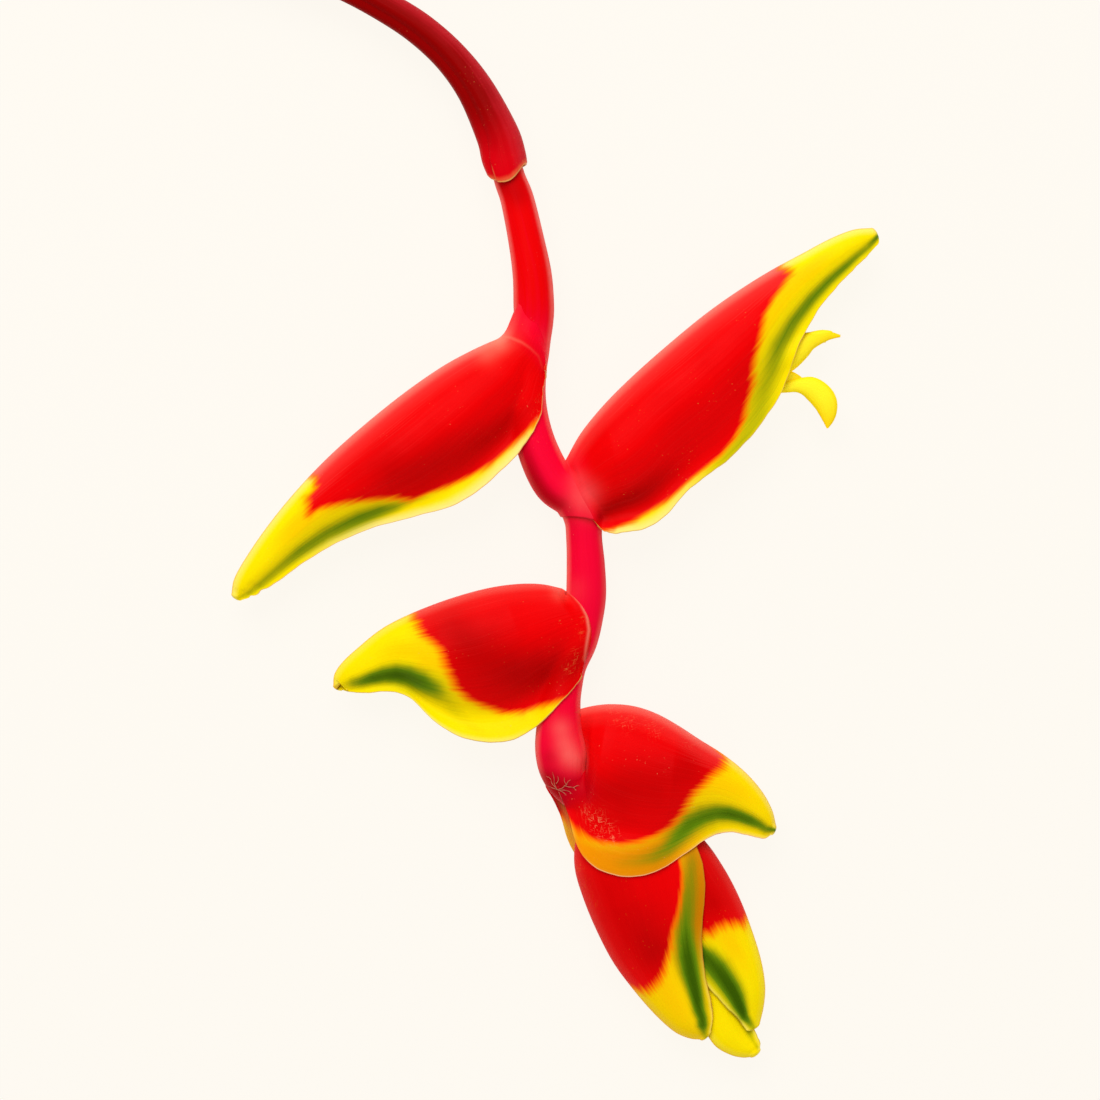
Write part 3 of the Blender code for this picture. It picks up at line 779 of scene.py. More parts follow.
@dataclass(frozen=True)
class BractFinish:
    """The colours of a bract, among them painted shade and painted highlights, how strongly its keel's
    painted sheen shows, and its gloss.
    """

    red: Colour = (0.84, 0.0, 0.001)
    # The red of the painted shade bands.
    deep: Colour = (0.38, 0.0, 0.0)
    # The next two colours paint the sheen along the keel, broad and narrow.
    blush: Colour = (0.90, 0.045, 0.04)
    glow: Colour = (0.96, 0.20, 0.15)
    # The tone of the painted light spots: a highlight, on bract 4 a painted shade.
    bloom_tone: Colour = (0.93, 0.16, 0.13)
    orange: Colour = (1.0, 0.15, 0.0)
    yellow: Colour = (1.0, 0.77, 0.0)
    golden: Colour = (1.0, 0.58, 0.0)
    pale: Colour = (0.99, 0.84, 0.28)
    leaf: Colour = (0.13, 0.25, 0.003)
    dark_leaf: Colour = (0.032, 0.088, 0.0)
    crimson: Colour = (0.92, 0.001, 0.024)
    amber: Colour = (0.97, 0.27, 0.0)
    # The painted shade by the lip.
    umber: Colour = (0.34, 0.13, 0.0)
    # Worn places, and the painted light and shade on the lip's edge.
    rim: Colour = (0.70, 0.42, 0.08)
    lining: Colour = (0.95, 0.70, 0.22)
    # How strongly the keel's painted sheen shows.
    sheen: float = 1.0
    roughness: float = 0.42


def flank_columns() -> Array:
    """Shares of the depth from keel to lip, closer together at both.

    Returns:
        The shares as a column.
    """
    round_part, flat_part = FLANK_COLUMNS
    turn = np.linspace(0, np.pi / 2, round_part)
    spread = np.linspace(0, np.pi / 2, flat_part + 1)[1:]
    shares = [CREST * (1 - np.cos(turn)), CREST + (1 - CREST) * np.sin(spread)]
    return np.concatenate(shares)[:, None]


def mirrored(columns: Array) -> Array:
    """Values of one flank for both, from the front lip over the keel to the back lip."""
    return np.concatenate([columns[::-1], columns[1:]])


@dataclass
class Bract:
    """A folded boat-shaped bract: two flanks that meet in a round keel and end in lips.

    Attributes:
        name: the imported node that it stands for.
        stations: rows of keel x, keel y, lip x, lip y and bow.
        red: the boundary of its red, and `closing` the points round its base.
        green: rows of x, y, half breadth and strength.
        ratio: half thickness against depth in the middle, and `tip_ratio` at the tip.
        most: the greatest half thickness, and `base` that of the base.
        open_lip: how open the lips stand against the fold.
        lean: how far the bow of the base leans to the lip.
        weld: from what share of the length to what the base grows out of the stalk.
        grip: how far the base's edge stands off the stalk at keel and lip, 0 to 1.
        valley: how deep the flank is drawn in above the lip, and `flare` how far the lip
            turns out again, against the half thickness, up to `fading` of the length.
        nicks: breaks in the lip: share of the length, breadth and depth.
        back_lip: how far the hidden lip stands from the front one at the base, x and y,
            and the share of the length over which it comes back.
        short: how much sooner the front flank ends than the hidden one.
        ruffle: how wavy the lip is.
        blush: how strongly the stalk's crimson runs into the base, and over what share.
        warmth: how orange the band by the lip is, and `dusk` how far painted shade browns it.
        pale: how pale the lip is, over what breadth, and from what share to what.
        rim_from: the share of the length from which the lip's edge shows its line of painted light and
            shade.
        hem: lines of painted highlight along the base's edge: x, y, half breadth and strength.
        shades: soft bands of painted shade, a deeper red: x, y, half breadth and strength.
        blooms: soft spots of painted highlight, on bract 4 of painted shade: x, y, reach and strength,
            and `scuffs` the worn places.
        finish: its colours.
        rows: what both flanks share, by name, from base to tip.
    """

    name: str
    stations: Rows
    red: Rows
    closing: Rows
    green: Rows
    ratio: float
    tip_ratio: float
    most: float
    base: float
    open_lip: float
    lean: int = 1
    weld: tuple[float, float] = (0.0, 0.07)
    grip: tuple[float, float] = (0.0, 0.0)
    valley: float = 0.0
    flare: float = 0.0
    fading: float = 0.95
    nicks: Rows = field(default_factory=list)
    back_lip: tuple[float, float, float] = (0.0, 0.0, 0.45)
    short: float = 0.0
    ruffle: float = 0.3
    blush: tuple[float, float] = (0.5, 0.13)
    warmth: float = 0.0
    dusk: float = 0.0
    pale: tuple[float, float, float, float] = (0.3, 1.2, 0.0, 1.0)
    rim_from: float = 0.0
    hem: Rows = field(default_factory=list)
    shades: Rows = field(default_factory=list)
    blooms: Rows = field(default_factory=list)
    scuffs: Rows = field(default_factory=list)
    finish: BractFinish = BractFinish()
    rows: SimpleNamespace = field(init=False, repr=False)

    def __post_init__(self) -> None:
        """Works out the rows from base to tip that both flanks share.

        The tip is closed by shrinking copies of the last row, a quarter of its depth on.
        """
        t = np.linspace(0, 1, BRACT_ROWS)
        line = softened(spline(self.stations, t), 7)
        keel, lip, bow = line[:, 0:2], line[:, 2:4], line[:, 4]
        reach = np.linalg.norm(lip - keel, axis=1)
        wave = 0.16 * np.sin(41 * t + 1) + 0.1 * np.sin(97 * t) + 0.05 * np.sin(203 * t + 2)
        wave *= self.ruffle * smoothstep(t / 0.1) * (1 - smoothstep((t - 0.85) / 0.15))
        wave -= sum(depth * bell(t, place, breadth) for place, breadth, depth in self.nicks)
        lip = lip + ((lip - keel) / reach[:, None]) * wave[:, None]
        ratio = self.ratio + (self.tip_ratio - self.ratio) * smoothstep(2 * t - 1)
        half = np.minimum(ratio * reach, self.most)
        half = np.maximum(self.base + (half - self.base) * smoothstep(t / 0.3), LEAST_HALF)

        u = np.sin(np.linspace(0, np.pi / 2, TIP_ROWS + 1)[1:])
        middle = (keel[-1] + lip[-1]) / 2
        ahead = middle - (keel[-6] + lip[-6]) / 2
        ahead *= 0.24 * reach[-1] / np.linalg.norm(ahead)
        shrunk = np.maximum(np.sqrt(1 - u**2), 0.04)[:, None]
        shifted = middle + u[:, None] * ahead
        keel = np.concatenate([keel, shifted + (keel[-1] - middle) * shrunk])
        lip = np.concatenate([lip, shifted + (lip[-1] - middle) * shrunk])
        self.rows = SimpleNamespace(
            t=np.concatenate([t, np.ones(TIP_ROWS)]),
            keel=keel,
            lip=lip,
            half=np.concatenate([half, half[-1] * shrunk[:, 0]]),
            bow=np.concatenate([bow, np.zeros(TIP_ROWS)]),
            depth=np.linalg.norm(lip - keel, axis=1),
            along=arc_lengths((keel + lip) / 2),
        )

    def wall(self, s: Array) -> Array:
        """The blade's thickness: thin at the lip, the tip and where it leaves the stalk.

        Args:
            s: shares of the depth from keel to lip, as a column.

        Returns:
            The thickness by column and row.
        """
        t, half, depth = self.rows.t, self.rows.half, self.rows.depth
        thick = (1 - smoothstep((s - 0.5) / 0.5)) * (1 - smoothstep((t - 0.6) / 0.4))
        thick = LIP_WALL + (BLADE_WALL - LIP_WALL) * thick * (0.3 + 0.7 * smoothstep(t / 0.15))
        return np.minimum(thick, 0.32 * half * np.minimum(1, depth / 4))

    def spots(self, side: Side, s: Array) -> Array:
        """Where the points of a flank are to be seen on the plane.

        A point lies on the line from keel to lip, bowed sideways.

        Args:
            side: which flank.
            s: shares of the depth from keel to lip, as a column.

        Returns:
            Plane points by column and row.
        """
        t, keel, lip, lean = self.rows.t, self.rows.keel, self.rows.lip, self.lean
        if side is Side.BACK:
            shift = smoothstep(t / 0.07) * np.sqrt(np.clip(1 - t / self.back_lip[2], 0, 1))
            lip = lip + np.array(self.back_lip[:2]) * shift[:, None]
        line = lip - keel
        square = np.stack([-line[:, 1], line[:, 0]], 1)
        square /= np.linalg.norm(line, axis=1)[:, None]
        bow = self.rows.bow * s**lean * (1 - s) * (1 + lean) ** (1 + lean) / lean**lean
        spots = keel + line * s[..., None] + square * bow[..., None]
        if side is Side.FRONT:
            ahead, _ = directions((keel + lip) / 2)
            back = self.short * smoothstep(s / 0.35) * smoothstep((t - 0.93) / 0.07)
            spots = spots - ahead * back[..., None]
        return spots

    def flank(self, side: Side, stalks: list[Array], under: Underlay | None) -> Array:
        """The outer face of one flank.

        Its height rises over the keel as a quarter ellipse, falls beyond the crest towards
        the lip, is drawn in above the lip and turns out at it. Where a stalk or a younger
        bract lies under the flank, the greater of both heights counts, and at the base the
        height is that of the stalk itself.

        Args:
            side: which flank.
            stalks: the stalks that it clasps, as rows of x, y and radius.
            under: what it wraps, or nothing.

        Returns:
            Points by column from keel to lip and by row from base to tip.
        """
        t, half = self.rows.t, self.rows.half
        s = flank_columns()
        spots = self.spots(side, s)
        rise = np.sqrt(1 - (1 - np.minimum(s, CREST) / CREST) ** 2)
        shut = (1 - self.open_lip) * smoothstep(t / 0.15) * smoothstep((s - CREST) / 0.5)
        grown = smoothstep(t / 0.12) * (1 - smoothstep(1 + (t - self.fading) / 0.35))
        drawn = self.valley * bell(s, 0.8, 0.1) - self.flare * smoothstep((s - 0.84) / 0.16)
        own = half * rise * (1 - shut - drawn * grown)
        wall = self.wall(s)
        cover = None if under is None else under.drape()
        plain = np.maximum(own, (wall + 0.12) * rise * np.minimum(1, half))
        most_pushed = MOST_PUSH * half * rise
        stand = self.grip[0] + (self.grip[1] - self.grip[0]) * smoothstep(s)
        welded = 1 - smoothstep((t - self.weld[0]) / (self.weld[1] - self.weld[0]))
        height = plain
        for _ in range(2):
            drawn_in = from_seen(spots, height if side is Side.FRONT else -height)
            height = plain
            for stalk in stalks:
                need = stalk_height(drawn_in, wall + CLASP_GAP, stalk)
                height = smooth_greater(height, np.minimum(need, most_pushed), 0.5)
            if cover is not None:
                need = under.read(cover, drawn_in) + wall + NEST_GAP
                height = smooth_greater(height, np.minimum(need, most_pushed), 0.4)
            rooted = stalk_surface(drawn_in, stalks[0])
            rooted += (0.45 * stand - 0.12) * np.minimum(1, 6 * s)
            height = height * (1 - welded) + rooted * welded
            height = np.where(s > 0, np.maximum(height, 0.02), 0)
        if side is Side.BACK:
            most = AXIS_HEIGHT - 0.02
            height = -(height + most - np.sqrt((height - most) ** 2 + 0.02)) / 2
            height[0] = 0
        return np.concatenate([from_seen(spots, height), height[..., None]], axis=2)

    def outer_face(self, stalks: list[Array], unders: dict[Side, Underlay]) -> Array:
        """Both flanks in one grid, from the front lip over the keel to the back lip.

        Args:
            stalks: the stalks that they clasp.
            unders: what each wraps, if anything.

        Returns:
            Points by column and row.
        """
        front, back = (self.flank(side, stalks, unders.get(side)) for side in Side)
        return np.concatenate([front[::-1], back[1:]])

    def skin(self, outer: Array) -> Skin:
        """The closed blade: the outer face, an inner face at the blade's thickness, rims.

        Args:
            outer: the outer face's grid.

        Returns:
            The surface with the values that its finish reads.
        """
        t, depth = self.rows.t, self.rows.depth
        square = np.cross(np.gradient(outer, axis=1), np.gradient(outer, axis=0))
        square /= np.maximum(np.linalg.norm(square, axis=2), 1e-9)[..., None]
        count = sum(FLANK_COLUMNS)
        inward = level(self.rows.lip - self.rows.keel)
        turned = np.sign((square[count - 1] * inward).sum(-1))
        wall = mirrored(self.wall(flank_columns()))
        inner = outer + square * (turned * wall)[..., None]
        s = mirrored(flank_columns())
        lined = smoothstep((t - 0.02) / 0.05) * (1 - smoothstep((t - 0.85) / 0.08))
        lined = lined * smoothstep((1 - s) * depth / 1.6)
        sign = np.concatenate([np.ones(count), -np.ones(count - 1)])[:, None]
        across = s * sign * depth.max()
        return shell_skin(outer, inner, self.paint(outer), lined, across, self.rows.along)

    def paint(self, outer: Array) -> dict[str, Array]:
        """The numbers that the finish reads, worked out over the plane.

        Args:
            outer: the outer face's grid.

        Returns:
            By name: `edge`, the distance in millimetres past the red's boundary, less
            than nothing in the red; `cross`, how squarely the veins meet that boundary;
            `green`, how near the green line; `lip` and `keel`, the distance from them;
            `foot`, how near the base; `gold`, how deep the yellow; `warmth`, how orange;
            `dusk`, how far painted shade browns the lip band; `shade`, how
            deep the painted shade in the red; `bloom`, how strong the spots of
            painted light, highlights and on bract 4 shade, and the painted highlight along
            the base's edge; `pale`, how pale the lip, and `rim` its edge line of painted
            light and shade; `scuff`, how worn.
        """
        t, depth = self.rows.t, self.rows.depth
        s = mirrored(flank_columns())
        spots = as_seen(outer)
        edge = nearest_on_line(spots, np.array(self.red))[0]
        if self.closing:
            outline = np.array(self.red + self.closing)
            edge = np.where(inside_outline(spots, outline), -edge, edge)
        else:
            edge = edge + 4
        steps = np.linalg.norm(np.gradient(outer, axis=1), axis=2)
        cross = np.abs(np.gradient(edge, axis=1)) / np.maximum(steps, 1e-6)
        strength, share = self.blush
        foot = (1 - smoothstep(t / share)) * (1 - smoothstep((s - 0.8) / 0.2))
        lip = (1 - s) * depth
        whiteness, breadth, start, end = self.pale
        pale = smoothstep((t - start) / 0.08) * (1 - smoothstep((t - end) / 0.15))
        lower = smoothstep((s - 0.5) / 0.3)
        front = np.arange(len(s))[:, None] < sum(FLANK_COLUMNS)
        warmth = self.warmth * lower * (0.45 + 0.55 * smoothstep(edge / 3.5))
        warmth = warmth * np.where(front, 1, 0.3) * (1 - smoothstep((t - 0.5) / 0.2))
        # The lip's edge line, painted light and shade on that edge, shows from rim_from on.
        bare = smoothstep((t - self.rim_from) / 0.06) * (1 - 0.8 * smoothstep((t - 0.92) / 0.05))
        return {
            "edge": edge,
            "cross": np.clip(cross, 0, 1),
            "green": soft_band(spots, self.green),
            "lip": lip,
            "keel": s * depth,
            "foot": strength * foot,
            "gold": bell(s, 0.36, 0.2),
            "warmth": warmth,
            # Painted shade browns the band by the lip.
            "dusk": self.dusk * lower * bell(t, 0.46, 0.2),
            # Bands of painted shade in the red.
            "shade": soft_band(spots, self.shades),
            # Spots of painted light, and the painted highlight along the base's edge.
            "bloom": np.maximum(spotted(spots, self.blooms), soft_band(spots, self.hem)),
            "pale": whiteness * (1 - smoothstep(lip / breadth)) * pale,
            "rim": bare,
            "scuff": spotted(spots, self.scuffs),
        }


@dataclass
class Rachis:
    """The stalk: a round zigzag axis that swells at its nodes.

    Attributes:
        stations: rows of x, y and radius.
        rims: nodes whose lower edge stands over the next length of stalk: station,
            height, run-up, length of the drop, and how much later it comes on the right.
        swellings: soft swellings: station, reach along, angle, reach round and height.
        blooms: soft spots of painted highlight: x, y, reach and strength, and `shadows` the spots of
            painted shadow.
        sides: how many points go round it.
        rings: how many rings it has, and `rim_rings` how many more lie close to each rim.
    """

    stations: Rows
    rims: Rows
    swellings: Rows
    blooms: Rows
    shadows: Rows
    sides: int = 56
    rings: int = 430
    rim_rings: int = 76

    def places(self) -> Array:
        """Shares of the length, closer together at the rims.

        Returns:
            The shares from 0 to 1.
        """
        last = len(self.stations) - 1
        close = [(rim[0] + np.linspace(-0.5, 0.5, self.rim_rings)) / last for rim in self.rims]
        return np.unique(np.concatenate([np.linspace(0, 1, self.rings), *close]))

    def path(self, places: Array) -> Array:
        """The axis at those shares of its length: x, y, radius."""
        return softened(spline(self.stations, places), 3)

    def balls(self) -> Array:
        """The stalk as a row of balls, for the flanks that lie over it."""
        return self.path(np.linspace(0, 1, STALK_BALLS))

    def skin(self) -> Skin:
        """The stalk's surface.

        Each ring is a circle of the path's radius, with shallow ridges along it, a swell
        towards each rim and a drop after it. Its tone goes from bright red, 0, above the
        first bract to crimson, 1, from its node on.

        Returns:
            The surface, with values for its tones.
        """
        places = self.places()
        path = self.path(places)
        station = places[:, None] * (len(self.stations) - 1)
        _, square = directions(path[:, :2])
        turn = np.linspace(0, 2 * np.pi, self.sides, endpoint=False)
        radius = path[:, 2:3] * np.ones(self.sides)
        radius += 0.05 * np.cos(7 * turn) * smoothstep((radius - 3) / 1.5)
        for place, height, run_up, drop, lean in self.rims:
            past = station - place - lean * np.cos(turn)
            up = smoothstep(1 + past / run_up) * (past <= 0)
            radius += height * (up + (1 - smoothstep(past / drop)) * (past > 0))
        for place, reach, centre, spread, height in self.swellings:
            face = bell((turn - centre + np.pi) % (2 * np.pi) - np.pi, 0, spread)
            radius += height * bell(station, place, reach) * face
        rings = level(path[:, :2])[:, None] + spokes(square, turn) * radius[..., None]
        values = {
            "turn": np.sin(turn),
            "tone": smoothstep((station - 14) / 4.5),
            "glow": self.glow(rings, station, turn),
            "shade": self.shade(rings, station, turn),
            "cut": np.where(places[:, None] <= 0, 1.0, 0.0),
        }
        return tube_skin(path, rings, values, turn * radius)

    def glow(self, rings: Array, station: Array, turn: Array) -> Array:
        """Painted highlight where the stalk turns away from above, and at soft spots on its front.

        Args:
            rings: the points by ring and angle.
            station: the place of each ring, as a column.
            turn: the angles.

        Returns:
            How strong the painted highlight is at each point, 0 to 1.
        """
        # Painted highlight along the stalk's edges, weaker on some lengths.
        right = 0.85 - 0.6 * bell(station, 27, 3) - 0.5 * bell(station, 23.6, 1)
        right -= 0.45 * bell(station, 33.6, 1.3)
        left = 1.0 - 0.8 * bell(station, 23.2, 1.4) - 0.9 * bell(station, 36.6, 1.1)
        side = np.where(np.cos(turn) > 0, right, left)
        edge = side * smoothstep((np.abs(np.cos(turn)) - 0.7) / 0.26)
        spots = spotted(as_seen(rings), self.blooms) * smoothstep(np.sin(turn) / 0.4)
        return np.maximum(edge, spots)

    def shade(self, rings: Array, station: Array, turn: Array) -> Array:
        """Painted shade: deeper red on the left of the second length, under rims and at soft spots.

        Args:
            rings: the points by ring and angle.
            station: the place of each ring, as a column.
            turn: the angles.

        Returns:
            How deep the painted shade is at each point, 0 to 1.
        """
        left = -np.cos(turn)
        left = smoothstep((left - 0.05) / 0.6) * (1 - smoothstep((left - 0.85) / 0.15))
        shade = 0.8 * left * bell(station, 22.9, 1.9)
        for place, _, _, _, lean in self.rims:
            past = station - place - lean * np.cos(turn)
            shade = np.maximum(shade, 0.75 * (past > 0) * bell(past, 0, 0.2))
        spots = spotted(as_seen(rings), self.shadows) * smoothstep(np.sin(turn) / 0.4)
        return np.maximum(shade, spots)


@dataclass
class Sheath:
    """The dark leaf sheath rolled round the upper stalk, one edge lapped over the other.

    Attributes:
        stations: rows of x, y and outer radius.
        stalk: the stalk's rows, which give its inner radius.
        seam: the angle of the outer edge, from the side and over the front.
        lap: how far round the inner edge runs on beneath it.
        tongue: how far the mouth reaches on along the front.
        rows: how many rows of points it has, and `mouth_rows` how many at the mouth.
        columns: how many points go round it.
    """

    stations: Rows
    stalk: Array
    seam: float = 2.25
    lap: float = 0.55
    tongue: float = 2.8
    rows: int = 150
    mouth_rows: int = 60
    columns: int = 120

    def skin(self) -> Skin:
        """The rolled leaf.

        Its cross section is a spiral: from the outer edge over the front and round the
        back, then beneath the outer edge by the lap, while the radius falls by the leaf's
        thickness. Towards the mouth the front reaches on, and the rim thins out.

        Returns:
            The closed surface, with values for its tones.
        """
        mouth = np.linspace(0.9, 1, self.mouth_rows)[1:]
        places = np.concatenate([np.linspace(0, 0.9, self.rows), mouth])
        path = softened(spline(self.stations, places), 4)
        along_way, square = directions(path[:, :2])
        _, held = nearest_on_line(path[:, :2], self.stalk)
        places = places[:, None]
        share = np.linspace(0, 1, self.columns)
        turn = self.seam - share * (2 * np.pi + self.lap)
        near_mouth = smoothstep((places - 0.72) / 0.28)
        loose = smoothstep((places - 0.8) / 0.14)
        sunk = smoothstep((share - 1 + 0.16) / 0.1)
        thick = 0.42 + 0.2 * (1 - near_mouth)
        flush = (1 - loose) * (1 - smoothstep(share / 0.09))
        edge_lift = 0.4 * bell(share, 0, 0.07) * loose
        radius = path[:, 2:3] + edge_lift - (sunk + flush) * (thick + 0.1)
        thick = thick * (1 - 0.85 * flush)
        radius = radius - 0.25 * smoothstep((places - 0.985) / 0.015)
        inner_radius = (held[:, 0:1] + 0.12) * (1 - 0.02 * sunk)
        front = np.clip(np.sin(turn - 0.35), 0, 1) ** 2
        reach = self.tongue * near_mouth * (front + 0.25 * bell(share, 0.12, 0.1))
        middle = level(path[:, :2])[:, None] + level(along_way)[:, None] * reach[..., None]
        rays = spokes(square, turn)
        outer = middle + rays * radius[..., None]
        inner = middle + rays * np.maximum(radius - thick, inner_radius)[..., None]
        along = arc_lengths(path[:, :2])[:, None] + reach
        values = {
            "mouth": along[-1] - along,
            "seam": share * (path[:, 2:3] * (2 * np.pi + self.lap)),
            # Which way each point faces, for the painted light on one side.
            "side": np.cos(turn),
        }
        return shell_skin(outer, inner, values, np.ones(along.shape), turn * 5.0, along)


@dataclass
class Flower:
    """The open flower of the second bract: a spike and curled tepals, grown as one piece.

    Attributes:
        lobes: for each tepal its rows of x, y and half breadth, how many rings it has, its
            thickness against its breadth, how far its lower face is drawn up against its
            half thickness, and how far it stands over the plane of the axis.
        sides: how many points go round each.
    """

    lobes: list[tuple[Rows, int, float, float, float]]
    sides: int = 40

    def lobe(self, stations: Rows, count: int, flatness: float, hollow: float, height: float) -> Skin:
        """One tepal: a flattened tube, hollowed along its lower face.

        Args:
            stations: rows of x, y and half breadth.
            count: how many rings it has.
            flatness: its thickness against its breadth.
            hollow: how far its lower face is drawn up, against its half thickness.
            height: how far it stands over the plane of the axis.

        Returns:
            The closed surface.
        """
        places = np.sin(np.linspace(0, np.pi / 2, count)) ** 0.9
        path = softened(spline(stations, places), 2)
        path[:, 2] = np.maximum(path[:, 2], 0.12)
        _, square = directions(path[:, :2])
        turn = np.linspace(0, 2 * np.pi, self.sides, endpoint=False)
        up = np.sin(turn)
        up = np.where(up < 0, up * (1 - hollow * (1 - np.cos(turn) ** 2)), up)
        up = flatness * up - 0.16 * np.cos(turn) ** 2 * hollow
        rings = level(path[:, :2])[:, None] + spokes(square, turn, up) * path[:, 2][:, None, None]
        rings[..., 2] += height
        values = {"reach": places[:, None], "turn": np.sin(turn)}
        return tube_skin(path, rings, values, turn * path[:, 2].max())

    def skin(self) -> Skin:
        """All tepals in one mesh, each a closed body that starts inside the bract."""
        return merged([self.lobe(*lobe) for lobe in self.lobes])


@dataclass
class Fibres:
    """Dry fibres left at the last node: thin bent threads that lie on the stalk.

    Attributes:
        threads: the places x and y of each.
        breadth: their half breadth, and `lift` how far they stand off the stalk.
        rings: how many rings each has, and `sides` how many points go round it.
    """

    threads: list[Rows]
    breadth: float = 0.08
    lift: float = 0.38
    rings: int = 30
    sides: int = 8

    def thread(self, stations: Rows, stalk: Array) -> Skin:
        """One thread: a tube along a smooth line, thinner towards its end.

        Args:
            stations: the places x and y that it passes.
            stalk: the stalk as balls.

        Returns:
            The closed surface.
        """
        share = np.linspace(0, 1, self.rings)
        path = spline(stations, share)
        height = stalk_surface(path, stalk) + self.lift
        _, square = directions(path)
        turn = np.linspace(0, 2 * np.pi, self.sides, endpoint=False)
        breadth = (self.breadth * (1 - 0.6 * share))[:, None]
        spots = np.concatenate([from_seen(path, height), height[:, None]], axis=1)
        rings = spots[:, None] + spokes(square, turn) * breadth[..., None]
        return tube_skin(path, rings, {}, turn * breadth)

    def skin(self, stalk: Array) -> Skin:
        """All threads in one mesh."""
        return merged([self.thread(stations, stalk) for stations in self.threads])


@dataclass(frozen=True)
class StalkFinish:
    """The tones of the stalk, with its painted highlight and painted shade."""

    bright: Colour = (0.81, 0.0, 0.001)
    crimson: Colour = (0.89, 0.001, 0.032)
    # The painted highlight, and after it the painted shade.
    glow: Colour = (0.95, 0.15, 0.13)
    shade: Colour = (0.38, 0.0, 0.001)
    pith: Colour = (0.80, 0.72, 0.46)
    bundle: Colour = (0.42, 0.34, 0.14)
    roughness: float = 0.45


@dataclass(frozen=True)
class SheathFinish:
    """The tones of the sheath, from the stem down to its dry rim."""

    dark: Colour = (0.27, 0.0, 0.0)
    bright: Colour = (0.70, 0.0, 0.005)
    # The paler pink painted on one side of the sheath, a painted highlight.
    bloom: Colour = (0.56, 0.018, 0.028)
    warm: Colour = (0.86, 0.15, 0.05)
    dry: Colour = (0.88, 0.42, 0.12)
    lining: Colour = (0.60, 0.20, 0.10)
    roughness: float = 0.42


@dataclass(frozen=True)
class FlowerFinish:
    """The yellows of the open flower."""

    yellow: Colour = (1.0, 0.76, 0.0)
    pale: Colour = (1.0, 0.84, 0.02)
    gold: Colour = (1.0, 0.62, 0.0)
    roughness: float = 0.4


@dataclass(frozen=True)
class FibreFinish:
    """The tones of the dry fibres."""

    straw: Colour = (0.66, 0.27, 0.17)
    brown: Colour = (0.38, 0.07, 0.04)
    roughness: float = 0.7


@dataclass(frozen=True)
class Signal:
    """A value in a node tree. A sum or the like on it adds a node that works it out.

    Attributes:
        graph: the tree's graph.
        socket: the socket that puts the value out.
    """

    graph: "Graph"
    socket: bpy.types.NodeSocket

    def __add__(self, other: object) -> "Signal":
        """The sum."""
        return self.graph.math("ADD", self, other)

    def __sub__(self, other: object) -> "Signal":
        """The difference."""
        return self.graph.math("SUBTRACT", self, other)

    def __rsub__(self, other: float) -> "Signal":
        """The difference from a plain number."""
        return self.graph.math("SUBTRACT", other, self)

    def __mul__(self, other: object) -> "Signal":
        """The product."""
        return self.graph.math("MULTIPLY", self, other)

    def __truediv__(self, other: object) -> "Signal":
        """The quotient."""
        return self.graph.math("DIVIDE", self, other)

    def greater(self, other: object) -> "Signal":
        """The greater of both."""
        return self.graph.math("MAXIMUM", self, other)

    def rise(self, low: float, high: float) -> "Signal":
        """A smooth rise from 0 to 1 as the value goes from low to high."""
        limits = {"Value": self, "From Min": low, "From Max": high}
        return self.graph.value("MapRange", "Result", limits, interpolation_type="SMOOTHSTEP")

    def fall(self, low: float, high: float) -> "Signal":
        """A smooth fall from 1 to 0 as the value goes from low to high."""
        return 1.0 - self.rise(low, high)


